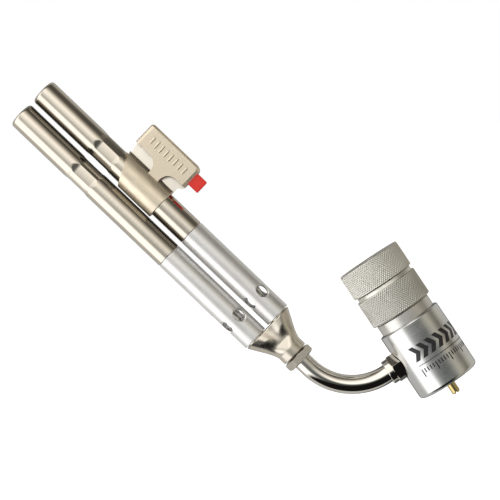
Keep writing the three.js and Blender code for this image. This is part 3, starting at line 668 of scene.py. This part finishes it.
def build_valve_body():
    """The body's outside, bore and ledges, with the round pocket that the union nut sits in."""
    shell = turned("valve_body_shell", [
        (PIN_RADIUS + GAP, SOCKET_DEPTH), (SOCKET_RADIUS + SOCKET_RELIEF, SOCKET_DEPTH, 0.2),
        (SOCKET_RADIUS + SOCKET_RELIEF, 0.9), (SOCKET_RADIUS + 1.6, 0, 0.15),
        (BODY_RADIUS, 0, BODY_FOOT_ROUND), (BODY_RADIUS, BODY_TOP, 0.9), (LEDGE_RADIUS, BODY_TOP, 0.2),
        (LEDGE_RADIUS, LEDGE_HEIGHT), (CHAMBER_RADIUS, LEDGE_HEIGHT), (CHAMBER_RADIUS, CHAMBER_FLOOR),
        (POCKET_RADIUS, CHAMBER_FLOOR), (POCKET_RADIUS, WEB_TOP), (PIN_RADIUS + GAP, WEB_TOP),
    ], 256, steps=8)
    cut(shell, radial_rod("spotface", SPOTFACE_RADIUS, SPOTFACE_AT, BODY_RADIUS + 2, UNION_HEIGHT, pi, 128))
    cut(shell, radial_rod("port", PORT_RADIUS, 7, BODY_RADIUS, UNION_HEIGHT, pi))
    place(shell, BODY, "body", "valve", ["valve_body"], "body_aluminium")
    build_inlet_thread()


def build_inlet():
    neck = PIN_RADIUS - 0.25
    pin = turned("inlet_pin_turned", [
        (PIN_BORE, PIN_TIP, 0.1), (1.75, PIN_TIP, 0.15), (PIN_RADIUS, PIN_TIP + 0.9, 0.2),
        (PIN_RADIUS, -1.2, 0.1), (neck, -1.0, 0.1), (neck, -0.4, 0.1), (PIN_RADIUS, -0.2, 0.1),
        (PIN_RADIUS, WEB_TOP - GAP, 0.2), (PIN_BORE, WEB_TOP - GAP),
    ], 96, steps=3)
    cut(pin, block("slot", (-0.45, 0.45), (-4, 4), (PIN_TIP - 1, PIN_TIP + 0.9)))
    place(pin, BODY, "brass", "valve", ["inlet_pin"], "brass")
    bore, low, high = PIN_RADIUS + 1.5, SOCKET_DEPTH - 2.3, SOCKET_DEPTH - GAP
    seal = turned("inlet_seal_ring", [
        (bore, low, 0.5), (SEAL_RADIUS, low, 0.5), (SEAL_RADIUS, high, 0.2), (bore, high, 0.2),
    ], 96)
    place(seal, BODY, "rubber", "valve", ["inlet_seal"], "rubber")


def knurled_wall(name, radius, low, high, chamfer, floor_rows):
    """A turned ring whose outside carries a raised diamond knurl. floor_rows are the (radius, height)
    points that finish the section, from the top of the wall back to its foot."""
    per_crest = 8
    segments = round(2 * pi * radius / KNURL_ACROSS) * per_crest
    rows = ceil((high - low) / KNURL_ALONG * per_crest)
    middle = (low + high) / 2
    rings = []
    for row in range(rows + 1):
        z = low + (high - low) * row / rows
        edge = min(z - low, high - z)
        inset = max(0, chamfer - edge)
        fade = smooth_step((edge + 0.1) / (chamfer + 0.4))
        climb = (z - middle) / KNURL_ALONG
        ring = []
        for k in range(segments):
            turn = k / per_crest
            one = abs((turn + climb) % 1 - 0.5) * 2
            two = abs((turn - climb) % 1 - 0.5) * 2
            groove = max(0, 1 - min(one, two) * 1.12)
            r = radius - inset - KNURL_DEPTH * fade * groove
            angle = 2 * pi * k / segments
            ring.append((r * cos(angle), r * sin(angle), z))
        rings.append(ring)
    rings += [circle(r, z, segments) for r, z in floor_rows]
    return skin(name, rings, loops=True, sharp=60)


def build_bonnet():
    foot, seat, ring_foot = LEDGE_HEIGHT + 1.4, BODY_TOP + GAP, RING_BOTTOM - GAP
    ledge, inner, top, shoulder = LEDGE_RADIUS - GAP, NECK_RADIUS - 0.7, RING_TOP, SHOULDER_RADIUS
    neck = turned("bonnet_turned", [
        (CHAMBER_SPRING_RADIUS, foot), (ledge, foot), (ledge, seat), (NECK_RADIUS, seat, 0.2),
        (NECK_RADIUS, RING_BOTTOM - 0.9, 0.3), (NECK_RADIUS - 0.8, ring_foot),
        (NECK_RADIUS - 1, ring_foot), (NECK_RADIUS - 1, top - 3), (BOSS_RADIUS, top - 3),
        (BOSS_RADIUS, BOSS_TOP, 0.4), (BOSS_BORE, BOSS_TOP, 0.3), (BOSS_BORE, CHAMBER_TOP),
        (CHAMBER_SPRING_RADIUS, CHAMBER_TOP),
    ], 256, steps=5)
    place(neck, BODY, "bonnet", "valve", ["bonnet"], "body_aluminium")
    ring = knurled_wall("bonnet_ring_knurled", RING_RADIUS, RING_BOTTOM, top, 0.45, [
        (shoulder + 0.5, top), (shoulder + 0.1, top + 0.1), (shoulder, top + 0.4),
        (shoulder, KNOB_BOTTOM - 0.8), (shoulder - 0.15, KNOB_BOTTOM - 0.45),
        (shoulder - 0.5, KNOB_BOTTOM - GAP), (RING_BORE, KNOB_BOTTOM - GAP), (RING_BORE, top - 2.7),
        (inner, top - 2.7), (inner, RING_BOTTOM),
    ])
    place(ring, BODY, "knurl", "valve", ["bonnet_ring"], "knurled_aluminium")


def build_knob():
    top, face, hub, wall = KNOB_TOP, KNOB_TOP - 0.25, HUB_RADIUS, KNOB_WALL
    knob = knurled_wall("control_knob_knurled", KNOB_RADIUS, KNOB_BOTTOM, face, 0.35, [
        *arc(KNOB_RADIUS - 0.75, top - 0.3, 0.3, 30, 90, 5),
        (KNOB_RADIUS - 2.6, top), (KNOB_RADIUS - 2.8, face), (KNOB_RADIUS - 3.0, face),
        (hub + 0.4, face), (hub, top - 0.6), (hub, top - CAP_RECESS), (HUB_BORE, top - CAP_RECESS),
        (HUB_BORE, HUB_FOOT), (hub, HUB_FOOT), (hub, top - KNOB_ROOF),
        (KNOB_RADIUS - wall, top - KNOB_ROOF), (KNOB_RADIUS - wall, KNOB_BOTTOM + wall),
        (RING_BORE, KNOB_BOTTOM + wall), (RING_BORE, KNOB_BOTTOM),
    ])
    place(knob, BODY, "knurl", "knob", ["control_knob"], "knurled_aluminium")
    cap = turned("knob_cap_disc", [
        (0, top - 1.9), (6.2, top - 1.9, 0.2), (6.2, top - 0.3, 0.35), (4.6, top - 0.3, 0.2),
        (4.2, top - 0.7, 0.2), (0, top - 0.7),
    ], 128)
    place(cap, BODY, "bonnet", "knob", ["knob_cap"], "body_aluminium")


def wall_patch(radius, low, high, start, end, lean=0.0):
    """A film on the body's wall, as points and faces. Lengths round the wall run from the
    middle of the front, and lean shifts the plate's top along it."""
    columns = max(2, ceil((end - start) / 0.8))
    rows = max(1, ceil(abs(lean) / 0.4))
    points = []
    for r in (radius, radius + FILM):
        for i in range(columns + 1):
            for j in range(rows + 1):
                along = start + (end - start) * i / columns + lean * j / rows
                angle = -pi / 2 + along / BODY_RADIUS
                points.append((r * cos(angle), r * sin(angle), low + (high - low) * j / rows))
    stride = rows + 1
    layer = stride * (columns + 1)
    faces = []
    for i in range(columns):
        for j in range(rows):
            a = i * stride + j
            faces.append((a, a + stride, a + stride + 1, a + 1))
            faces.append((layer + a, layer + a + 1, layer + a + stride + 1, layer + a + stride))
        for a, b in ((i * stride, (i + 1) * stride), (i * stride + rows, (i + 1) * stride + rows)):
            faces.append((a, layer + a, layer + b, b))
    for i in (0, columns):
        for j in range(rows):
            a = i * stride + j
            faces.append((a, a + 1, layer + a + 1, layer + a))
    return points, faces


def build_label():
    """A clear foil label round the body, printed with plain chevrons, a rule and a row of ticks."""
    film_radius = BODY_RADIUS + 0.01
    patch = wall_patch(film_radius, LABEL_LOW, LABEL_HIGH, LABEL_START, LABEL_END)
    film = make_object("body_label", *patch, 30)
    place(film, BODY, "film", "valve")
    ink_radius = film_radius + 0.045
    prints = []

    def mark(low, high, start, end, lean=0.0):
        prints.append(wall_patch(ink_radius, low, high, start, end, lean))

    middle = (CHEVRON_LOW + CHEVRON_HIGH) / 2
    for i in range(CHEVRONS):
        start = PRINT_START + i * CHEVRON_PITCH
        mark(CHEVRON_LOW, middle, start, start + CHEVRON_WIDTH, CHEVRON_LEAN)
        tip = start + CHEVRON_LEAN
        mark(middle, CHEVRON_HIGH, tip, tip + CHEVRON_WIDTH, -CHEVRON_LEAN)
    end = PRINT_START + (CHEVRONS - 1) * CHEVRON_PITCH + CHEVRON_WIDTH + CHEVRON_LEAN
    mark(RULE_LOW, RULE_HIGH, PRINT_START, end)
    ticks = int((end - PRINT_START) / TICK_PITCH)
    for i in range(ticks + 1):
        start = PRINT_START + i * TICK_PITCH
        low = TICK_LOW if i % 5 == 0 else TICK_LOW + 2.2
        mark(low, TICK_HIGH, start, start + TICK_WIDTH)
    place(joined("body_label_print", prints, 30), BODY, "ink", "valve")


# ---- union and neck


def build_union():
    nut = chamfered_nut("union_nut_plated", UNION_CORNERS, SPOTFACE_AT + GAP, UNION_HEX_END, UNION_HEX_TURN,
                        both=False)
    collar = turned("collar", [
        (0, UNION_HEX_END - 1), (COLLAR_RADIUS, UNION_HEX_END - 1), (COLLAR_RADIUS, COLLAR_END, 0.6),
        (0, COLLAR_END),
    ], 128)
    cut(nut, collar, "UNION", 25)
    bore = turned("bore", [
        (0, SPOTFACE_AT - 1), (PORT_RADIUS, SPOTFACE_AT - 1), (PORT_RADIUS, SHOULDER_SEAT),
        (NECK_TUBE_RADIUS + GAP, SHOULDER_SEAT), (NECK_TUBE_RADIUS + GAP, COLLAR_END - 0.4),
        (NECK_TUBE_RADIUS + 0.7, COLLAR_END + 0.6), (0, COLLAR_END + 0.6),
    ], 128)
    cut(nut, bore, sharp=25)
    place(nut, UNION, "nickel", "valve", ["union_nut"], "plated_nickel")


def neck_line():
    """(point, tangent) pairs along the neck's centre line."""
    steps = 72
    bend = pi / 2 + BURNER_TILT
    tangent = NECK_BEND_RADIUS * tan(bend / 2)
    bend_x = NECK_CORNER_X + tangent
    corner = Vector((NECK_CORNER_X, 0, UNION_HEIGHT))
    tail = (BURNER_START - corner).length - tangent + SOCKET_END - 0.6
    line = [(Vector((-TUBE_START, 0, UNION_HEIGHT)), Vector((-1, 0, 0)))]
    for i in range(steps + 1):
        turn = bend * i / steps
        centre = Vector((bend_x, 0, UNION_HEIGHT + NECK_BEND_RADIUS))
        point = centre + NECK_BEND_RADIUS * Vector((-sin(turn), 0, -cos(turn)))
        line.append((point, Vector((-cos(turn), 0, sin(turn)))))
    point, direction = line[-1]
    line.append((point + direction * tail, direction))
    return line


def ring_at(point, direction, radius):
    """A round section across a direction that lies in the XZ plane."""
    sideways = Vector((direction.z, 0, -direction.x))
    return [point + sideways * x + Vector((0, y, 0)) for x, y, _ in circle(radius, 0, 96)]


def build_neck():
    line = neck_line()
    start, direction = line[0]
    high = TUBE_SHOULDER_RADIUS
    shoulder = ((0, high - 0.3), (0.3, high), (2.4, high), (2.7, NECK_TUBE_RADIUS))
    rings = [ring_at(start + direction * along, direction, radius) for along, radius in shoulder]
    rings += [ring_at(p, d, NECK_TUBE_RADIUS) for p, d in line[1:]]
    rings += [ring_at(p, d, NECK_TUBE_BORE) for p, d in reversed(line)]
    pipe = skin("neck_tube_bent", rings, loops=True)
    place(pipe, BODY, "nickel", "burner", ["neck_tube"], "plated_nickel")


# ---- burner


def build_burner_nut():
    nut = chamfered_nut("burner_nut_hex", BURNER_NUT_CORNERS, 0, BURNER_NUT_LENGTH, radians(67.5))
    cut(nut, rod("bore", NECK_TUBE_RADIUS + GAP, -1, BURNER_NUT_LENGTH + 1, 128), sharp=25)
    place(nut, BURNER, "nut", "burner", ["burner_nut"], "cast_nickel")
    # The dark ring of thread that shows in the gap between the nut and the manifold.
    bore, crest, low, high = NECK_TUBE_RADIUS + 0.35, 6.4, BURNER_NUT_LENGTH - 0.2, MANIFOLD_START + 0.6
    thread = turned("burner_nut_thread", [
        (bore, low), (crest, low, 0.1), (crest - 0.5, (low + high) / 2, 0.1), (crest, high, 0.1),
        (bore, high),
    ], 96)
    place(thread, BURNER, "nut", "burner", slot="cast_nickel")


def stadium(height, half_width, half_depth, pinch=0.0):
    """A section of the manifold: a round end on each side, and a front and back that can dip between them."""
    shift = half_width - half_depth
    steps, flat_steps = 40, 12
    ring = []
    for side in (1, -1):
        for i in range(steps + 1):
            angle = -pi / 2 + pi * i / steps + (pi if side < 0 else 0)
            ring.append((side * shift + half_depth * cos(angle), half_depth * sin(angle), height))
        for i in range(1, flat_steps):
            share = i / flat_steps
            dip = pinch * sin(pi * share) ** 2
            ring.append((side * shift * (1 - 2 * share), side * (half_depth - dip), height))
    return ring


def manifold_section(z):
    """Half the manifold's depth over its bores, which is full at the wide end, waisted behind it and round
    again at the neck, and the dip between the bores, which keeps the middle of the face nearly level."""
    full = MANIFOLD_WAIST + (MANIFOLD_DEPTH - MANIFOLD_WAIST) * smooth_step((z - 17) / 6.5)
    depth = full + (MANIFOLD_NECK - full) * smooth_step((16.5 - z) / 6)
    return depth, full - MANIFOLD_WAIST + MANIFOLD_VALLEY * smooth_step((z - 17) / 10)


def build_manifold():
    """The round neck swells into a flat, wide end, with a shallow valley between the two bores."""
    rings = []
    for r, z in arc(MANIFOLD_NECK - 0.5, MANIFOLD_START + 0.5, 0.5, -90, 0, 5):
        rings.append(stadium(z, r + 0.0001, r))
    steps = 48
    for i in range(steps + 1):
        share = i / steps
        z = MANIFOLD_FLARE + (MANIFOLD_END - 0.3 - MANIFOLD_FLARE) * share
        swell = share**1.5 * (1.45 - 0.45 * share)
        half_width = MANIFOLD_NECK + (MANIFOLD_WIDTH - MANIFOLD_NECK) * swell + 0.0002
        rings.append(stadium(z, half_width, *manifold_section(z)))
    dip = manifold_section(MANIFOLD_END)[1]
    rings.append(stadium(MANIFOLD_END, MANIFOLD_WIDTH - 0.3, MANIFOLD_DEPTH - 0.3, dip))
    body = skin("manifold_cast", rings, sharp=50)
    for side in (1, -1):
        spigot = rod("spigot", SPIGOT_RADIUS, MANIFOLD_END - 1, SPIGOT_END)
        hole = rod("hole", JET_HOLE_RADIUS, JET_HOLE_START, SPIGOT_END + 1)
        for tool, operation in ((spigot, "UNION"), (hole, "DIFFERENCE")):
            tool.data.transform(Matrix.Translation((side * TUBE_SPACING / 2, 0, 0)))
            cut(body, tool, operation, 50)
    cut(body, rod("socket", NECK_TUBE_RADIUS + GAP, MANIFOLD_START - 1, SOCKET_END), sharp=50)
    place(body, BURNER, "cast", "burner", ["manifold"], "cast_nickel")


def build_sleeve(name, matrix, turn):
    """A mixer sleeve with four air holes, each with a broken edge."""
    sleeve = turned(f"{name}_mixer_sleeve_turned", [
        (SLEEVE_BORE, SLEEVE_START, 0.1), (TUBE_RADIUS, SLEEVE_START, 0.5),
        (TUBE_RADIUS, SLEEVE_END, 0.3), (7.1, SLEEVE_END), (7.1, SLEEVE_END + 8),
        (SLEEVE_BORE, SLEEVE_END + 8),
    ], 192, steps=4)
    for i in range(4):
        cut(sleeve, air_hole(turn + i * pi / 2), sharp=30)
    place(sleeve, matrix, "sleeve", "burner", [f"{name}_mixer_sleeve"], "sleeve_aluminium")
    jet = turned(f"{name}_gas_jet_turned", [
        (JET_BORE, JET_HOLE_START + 0.6), (JET_HOLE_RADIUS - GAP, JET_HOLE_START + 0.6),
        (JET_HOLE_RADIUS - GAP, 36.4, 0.3), (JET_RADIUS, 37.6), (JET_RADIUS, 41.4, 0.15),
        (JET_RADIUS - 0.35, 41.7, 0.1), (JET_RADIUS - 0.35, 42.4, 0.1), (JET_RADIUS, 42.7, 0.15),
        (JET_RADIUS, 49, 0.2), (1.6, JET_END, 0.2), (JET_BORE, JET_END),
    ], 96, steps=3)
    place(jet, matrix, "jet", "burner", [f"{name}_gas_jet"], "brass")


def air_hole(angle):
    """A drill with a shallow countersink, which runs outwards from the sleeve's axis."""
    tool = turned("drill", [
        (0, 4), (AIR_HOLE_RADIUS, 4), (AIR_HOLE_RADIUS, TUBE_RADIUS - 1.0),
        (AIR_HOLE_RADIUS + 1.6, TUBE_RADIUS + 0.6), (AIR_HOLE_RADIUS + 1.6, 11), (0, 11),
    ], 96)
    return outwards(tool, AIR_HOLE_AT, angle)


def pressed_ring(radius, height, share=0):
    """A round section pressed in towards each flat by a share of the full depth."""
    ring = []
    count = 192
    per_flat = 2 * pi / FLATS_COUNT
    pressed = radius - FLATS_DEPTH * share
    for k in range(count):
        angle = 2 * pi * k / count
        off = abs((angle + per_flat / 2) % per_flat - per_flat / 2)
        reach = min(radius, pressed * (1 + FLATS_CROWN * (1 / cos(off) - 1)))
        ring.append((reach * cos(angle), reach * sin(angle), height))
    return ring


def build_tube(name, matrix, spark_hole):
    start, wall, steps = BURNER_TUBE_START, TUBE_RADIUS - TUBE_BORE, 10
    lead = [i / steps for i in range(steps + 1)]
    foot = (0.25, 0), (0.07, 0.07), (0, 0.25)
    stations = [(TUBE_RADIUS - inset, start + along, 0) for inset, along in foot]
    stations += [(TUBE_RADIUS, FLATS_START - FLATS_NUT_LEAD * (1 - t), smooth_step(t)) for t in lead]
    stations += [(TUBE_RADIUS, FLATS_END + FLATS_TIP_LEAD * t, smooth_step(1 - t)) for t in lead]
    centre = TUBE_RADIUS - TUBE_LIP, BURNER_TIP - TUBE_LIP
    rings = [pressed_ring(*station) for station in stations]
    rings += [pressed_ring(r, z) for r, z in arc(*centre, TUBE_LIP, 0, 90, 10)]
    rings += [pressed_ring(r, z) for r, z in arc(*centre, TUBE_LIP - wall, 90, 0, 8)]
    rings += [pressed_ring(r - wall, z, share) for r, z, share in reversed(stations[2:])]
    rings.append(pressed_ring(TUBE_BORE, start))
    pipe = skin(f"{name}_burner_tube_polished", rings, loops=True, sharp=30)
    if spark_hole:
        cut(pipe, radial_rod("spark", 2.3, 5, 10, SPARK_HOLE_AT, 0, 48), sharp=30)
    place(pipe, matrix, "stainless", "burner", [f"{name}_burner_tube"], "stainless")


def build_flame_holder(name, matrix):
    """A swirl insert: twisted vanes between a hub and a rim."""
    low, high = FLATS_START + 1.5, FLATS_END - 1.5
    holder = turned(f"{name}_flame_holder_swirl", [
        (HOLDER_BORE, low, 0.2), (HOLDER_RADIUS, low, 0.2), (HOLDER_RADIUS, high, 0.2),
        (HOLDER_BORE, high, 0.2),
    ], 96, steps=3)
    hub = turned("hub", [
        (0, low - 0.5), (1.2, low, 0.2), (HOLDER_HUB, low + 1.2), (HOLDER_HUB, high - 1, 0.4),
        (0, high),
    ], 64)
    cut(holder, hub, "UNION")
    count, steps = 6, 12
    for i in range(count):
        rings = []
        for step in range(steps + 1):
            share = step / steps
            z = low + 0.4 + (high - low - 0.8) * share
            turn = i * 2 * pi / count + HOLDER_TWIST * (share - 0.5)
            along = Vector((cos(turn), sin(turn), 0))
            side = Vector((-sin(turn), cos(turn), 0)) * 0.3
            up = Vector((0, 0, z))
            root, end = along * 1.5 + up, along * 5.7 + up
            rings.append([root - side, end - side, end + side, root + side])
        cut(holder, skin("vane", rings, sharp=40), "UNION", 40)
    place(holder, matrix, "steel", "burner", [f"{name}_flame_holder"], "spring_steel")


# ---- igniter


def across(name, outline, low, high):
    """An outline of (height, along) points in the burner's plane, pushed across it from one Y to another."""
    made = prism(name, outline, low, high)
    made.data.transform(Matrix(((1, 0, 0, 0), (0, 0, 1, 0), (0, 1, 0, 0), (0, 0, 0, 1))))
    clean(made)
    return made


def housing_outline(inset, bottom):
    """The side of the igniter's housing, drawn from its front foot round to its rear foot."""
    rear, front, top = HOUSING_REAR + inset, HOUSING_FRONT - inset, HOUSING_TOP - inset
    front_round, rear_round = max(0.4, 2.0 - inset), max(0.6, 3.2 - inset)
    return [
        (bottom, front),
        *arc(top - front_round, front - front_round, front_round, 90, 0),
        *arc(top - rear_round, rear + rear_round, rear_round, 0, -90),
        (bottom, rear),
    ]


def build_bracket():
    half = HOUSING_HALF
    rings = []
    for side, bend in ((-1, HOUSING_BEND), (1, HOUSING_BACK_BEND)):
        for inset, y in arc(bend, bend - half, -bend, 90, 0, 8)[::-side]:
            rings.append([(h, -side * y, along) for h, along in housing_outline(inset, HOUSING_BOTTOM)])
    shell = skin("igniter_bracket_sheet", rings)
    cut(shell, across("hollow", housing_outline(SHEET, HOUSING_BOTTOM - 2), SHEET - half, half - SHEET))
    foot, above, notch = SHEET_FOOT, HOUSING_BOTTOM + 1, 6.5
    back = across("back", [
        (foot, BACK_FRONT), (above, HOUSING_FRONT - 0.2), (above, HOUSING_REAR + 0.2),
        (HOUSING_BOTTOM - 1, HOUSING_REAR + 0.4), (BACK_HEEL, BRACKET_REAR), (foot, BRACKET_REAR),
    ], half - SHEET, half)
    cut(shell, back, "UNION")
    front, rear = WEB_FRONT + notch, WEB_REAR - notch
    web = across("web", [
        (foot, WEB_FRONT), *arc(HOUSING_BOTTOM - notch, front, notch, 270, 360), (above, front),
        (above, rear), *arc(HOUSING_BOTTOM - notch, rear, notch, 0, 90), (foot, WEB_REAR),
    ], -half, SHEET - half)
    cut(shell, web, "UNION")
    sleeve = turned("sleeve", [
        (TUBE_RADIUS + GAP, BRACKET_REAR, 0.2), (BRACKET_RADIUS, BRACKET_REAR, 0.4),
        (BRACKET_RADIUS, HOUSING_FRONT), (TUBE_RADIUS + GAP, HOUSING_FRONT),
    ], 192, steps=4)
    slant = block("slant", (-30, 30), (-20, 20), (0, 30))
    slant.data.transform(Matrix.Translation(SLANT_AT) @ Matrix.Rotation(SLANT, 4, "Y"))
    cut(sleeve, slant)
    cut(shell, sleeve, "UNION", 30)
    cut(shell, button_block("window", BUTTON_SIDE / 2 + GAP, HOUSING_REAR - 1, HOUSING_REAR + 2))
    cut(shell, radial_rod("spark", 2.6, 6, 12, SPARK_HOLE_AT, 0, 48), sharp=30)
    place(shell, INNER, "sheet", "burner", ["igniter_bracket"], "satin_nickel")
    # Painted light: the back plate's inner face, seen through the notches, takes the brighter copy of the sheet's
    # nickel.
    shell.data.materials.append(LOOKS["inside"].material)
    inner_face = (half - SHEET) * MM
    for face in shell.data.polygons:
        if face.normal.y < -0.95 and abs(face.center.y - inner_face) < 0.2 * MM:
            face.material_index = 1


def build_ribs():
    """A row of short ribs pressed out of the housing's front sheet, as a grip for the thumb's side."""
    count = 40
    levels = ((0, 0.15), (0.0, -0.08), (0.16, -0.24), (0.4, -0.33), (0.62, -0.36))
    ribs = []
    for along in (RIBS_FROM + i * RIB_PITCH for i in range(RIBS)):
        rings = []
        for inset, y in levels:
            reach, ring = RIB_WIDTH / 2 - inset, []
            for k in range(count):
                angle = 2 * pi * (k + 0.5) / count
                shift = (RIB_LENGTH - RIB_WIDTH) / 2 * (1 if sin(angle) > 0 else -1)
                h = BUTTON_HEIGHT + shift + reach * sin(angle)
                ring.append((h, y - HOUSING_HALF, along + reach * cos(angle)))
            rings.append(ring)
        ribs.append(stacked(rings))
    place(joined("igniter_bracket_ribs", ribs, 50), INNER, "sheet", "burner", slot="satin_nickel")


def button_block(name, half, rear, front):
    """A block round the button's axis."""
    return block(name, (BUTTON_HEIGHT - half, BUTTON_HEIGHT + half), (-half, half), (rear, front))


def build_button():
    half = BUTTON_SIDE / 2
    cap = bevelled(button_block("igniter_button_moulded", half, BUTTON_REAR, HOUSING_REAR + 3), 0.7, 5)
    cut(cap, button_block("flange", half + GAP, HOUSING_REAR + 1.5, BUTTON_FRONT), "UNION")
    place(cap, INNER, "red", "button", ["igniter_button"], "red_plastic")


# ---- pieces that stay as CAD


def dress_cad():
    """Gives each CAD node that is still shown its material, by the record's slots."""
    looks = {
        "brass": "brass", "rubber": "rubber", "black_plastic": "black", "ceramic": "ceramic",
        "plated_nickel": "nickel", "cast_nickel": "cast", "body_aluminium": "body",
    }
    slots = {row["node"]: row["material_slot"] for row in frame["record"]["subparts"]}
    for name, node in frame["nodes"].items():
        if node.hide_render:
            continue
        node.data.materials.clear()
        node.data.materials.append(LOOKS[looks.get(slots[name], "steel")].material)


# ---- stage, light and camera

# The camera looks along +Y and is rolled so that the torch lies across the picture.
VIEW_CENTRE = Vector((-53.5, 0, 126.8))
VIEW_DISTANCE = 1100
VIEW_WIDTH = 288.8
VIEW_UP = Vector((0.556, 0, 0.831)).normalized()
TOWARDS_VIEWER = Vector((0, -1, 0))
SENSOR = 36

# The direction across the burner tubes in the picture, to its right and up.
ACROSS_TUBES = (0.765, 0.645)

# The floor's drop below the torch and half its side, in metres, and its own glow.
FLOOR_DROP = 0.03
FLOOR_SIDE = 8
FLOOR_GLOW = 0.84

# The tent's light round the torch, as degrees from the viewer and colour: first beside and behind the
# torch's upper end, then before its lower end, where a black flag stands. Both share the white bank on the
# left and the dark space behind.
BANK = (
    (-180, (0.1, 0.1, 0.1)), (-165, (0.12, 0.12, 0.12)), (-145, (0.5, 0.495, 0.48)),
    (-112, (0.52, 0.515, 0.5)), (-98, (0.66, 0.655, 0.64)), (-92, (1.5, 1.5, 1.5)),
)
BEHIND = (
    (165, (0.12, 0.12, 0.12)), (180, (0.1, 0.1, 0.1)),
)
TENT = (
    *BANK, (-46, (1.5, 1.5, 1.5)), (-36, (0.74, 0.73, 0.71)), (-28, (0.58, 0.57, 0.55)),
    (-8, (1.1, 1.09, 1.06)), (16, (1.4, 1.37, 1.32)), (30, (1, 0.97, 0.91)), (40, (0.6, 0.57, 0.52)),
    (52, (0.25, 0.23, 0.2)), (64, (0.09, 0.085, 0.075)), (94, (0.09, 0.085, 0.075)),
    (108, (0.26, 0.25, 0.22)), (128, (0.5, 0.49, 0.46)), (145, (0.46, 0.45, 0.43)), *BEHIND,
)
FLAGGED = (
    *BANK, (-42, (1.5, 1.5, 1.5)), (-32, (0.5, 0.51, 0.49)), (-18, (0.14, 0.15, 0.145)),
    (-6, (0.065, 0.075, 0.073)), (14, (0.07, 0.078, 0.074)), (28, (0.17, 0.17, 0.155)),
    (40, (0.38, 0.37, 0.32)), (54, (0.52, 0.49, 0.4)), (66, (0.36, 0.33, 0.27)),
    (78, (0.2, 0.185, 0.155)), (86, (0.2, 0.185, 0.155)), (97, (0.38, 0.36, 0.31)),
    (112, (0.52, 0.5, 0.45)), (145, (0.5, 0.49, 0.46)), *BEHIND,
)
LIGHT_GAIN = 1.25

# Where each dark piece starts and is full: along the torch, towards the viewer, away from the knob's side,
# and in degrees from the viewer.
FLAG_EDGE = (0.16, -0.12)
BELOW_EDGE = (-0.20, -0.45)
BELOW_FRONT = (0.05, 0.25)
CARD_EDGE = (-0.17, -0.30)
CARD_SIDES = ((25, 8), (-105, -85))
NECK_SIDE = (0.40, 0.10)
NEAR_BLACK = (0.01, 0.01, 0.01, 1)
WHITE = (1, 1, 1, 1)

VIEW_RIGHT = VIEW_UP.cross(TOWARDS_VIEWER).normalized()


def build_camera():
    data = bpy.data.cameras.new("camera")
    data.sensor_width = SENSOR
    data.lens = SENSOR * VIEW_DISTANCE / VIEW_WIDTH
    data.clip_start, data.clip_end = 0.05, 50
    camera = linked("camera", data)
    turn = Matrix((VIEW_RIGHT, VIEW_UP, TOWARDS_VIEWER)).transposed().to_4x4()
    camera.matrix_world = Matrix.Translation((VIEW_CENTRE + TOWARDS_VIEWER * VIEW_DISTANCE) * MM) @ turn
    bpy.context.scene.camera = camera


def build_world():
    """A soft studio tent: a white bank on the left, a warm fill on the right between two greys, and a dark
    flag and a black card below, which only the neck's side sees. Directions are measured round the torch's
    length (turn) and along it (along). The camera itself sees plain white."""
    world = bpy.data.worlds.new("studio")
    world.use_nodes = True
    bpy.context.scene.world = world
    tree = Nodes(world.node_tree)
    sideways = (ACROSS_TUBES[0] * VIEW_RIGHT + ACROSS_TUBES[1] * VIEW_UP).normalized()
    length = TOWARDS_VIEWER.cross(sideways).normalized()
    direction = tree.node("TexCoord").outputs["Generated"]
    front, along = tree.dot(direction, TOWARDS_VIEWER), tree.dot(direction, length)
    beside = tree.math("ARCTAN2", tree.dot(direction, sideways), front)
    turn = tree.math("MULTIPLY_ADD", beside, 0.5 / pi, 0.5)

    def round_torch(bands):
        places = [(0.5 + angle / 360, [LIGHT_GAIN * c for c in color]) for angle, color in bands]
        return tree.ramp(turn, places)

    def mixed(factor, a, b):
        return tree.node("Mix", data_type="RGBA", Factor=factor, A=a, B=b).outputs["Result"]

    def darkened(light, *shares):
        """The light with a near-black piece where every share is full."""
        shade = tree.fade(tree.dot(direction, (1, 0, 0)), *NECK_SIDE)
        for share in shares:
            shade = tree.math("MULTIPLY", shade, share)
        return mixed(shade, light, NEAR_BLACK)

    light = mixed(tree.fade(along, *FLAG_EDGE), round_torch(TENT), round_torch(FLAGGED))
    light = darkened(light, tree.fade(along, *BELOW_EDGE), tree.fade(front, *BELOW_FRONT))
    sides = [tree.fade(turn, 0.5 + start / 360, 0.5 + end / 360) for start, end in CARD_SIDES]
    light = darkened(light, tree.fade(along, *CARD_EDGE), *sides)
    seen = tree.node("LightPath").outputs["Is Camera Ray"]
    tree.put(tree.tree.nodes["Background"].inputs["Color"], mixed(seen, light, WHITE))


def build_stage():
    """A plain white floor below the torch."""
    height, side = cad_box[0].z - FLOOR_DROP, FLOOR_SIDE
    mesh = bpy.data.meshes.new("floor")
    corners = [(-side, -side), (side, -side), (side, side), (-side, side)]
    mesh.from_pydata([(x, y, height) for x, y in corners], [], [(0, 1, 2, 3)])
    floor = linked("floor", mesh)
    made = Shader("floor_white", (0.4, 0.4, 0.4), 0.9)
    made.inputs["Emission Color"].default_value = WHITE
    made.inputs["Emission Strength"].default_value = FLOOR_GLOW
    mesh.materials.append(made.material)
    floor.visible_glossy = False


build_camera()
build_world()
build_stage()
build_valve_body()
build_inlet()
build_bonnet()
build_knob()
build_label()
build_union()
build_neck()
build_burner_nut()
build_manifold()
for name, matrix, turn in (("inner", INNER, radians(-57)), ("outer", OUTER, radians(-63))):
    build_sleeve(name, matrix, turn)
    build_tube(name, matrix, spark_hole=name == "inner")
    build_flame_holder(name, matrix)
build_bracket()
build_ribs()
build_button()
dress_cad()

bpy.context.scene.view_settings.view_transform = "Standard"
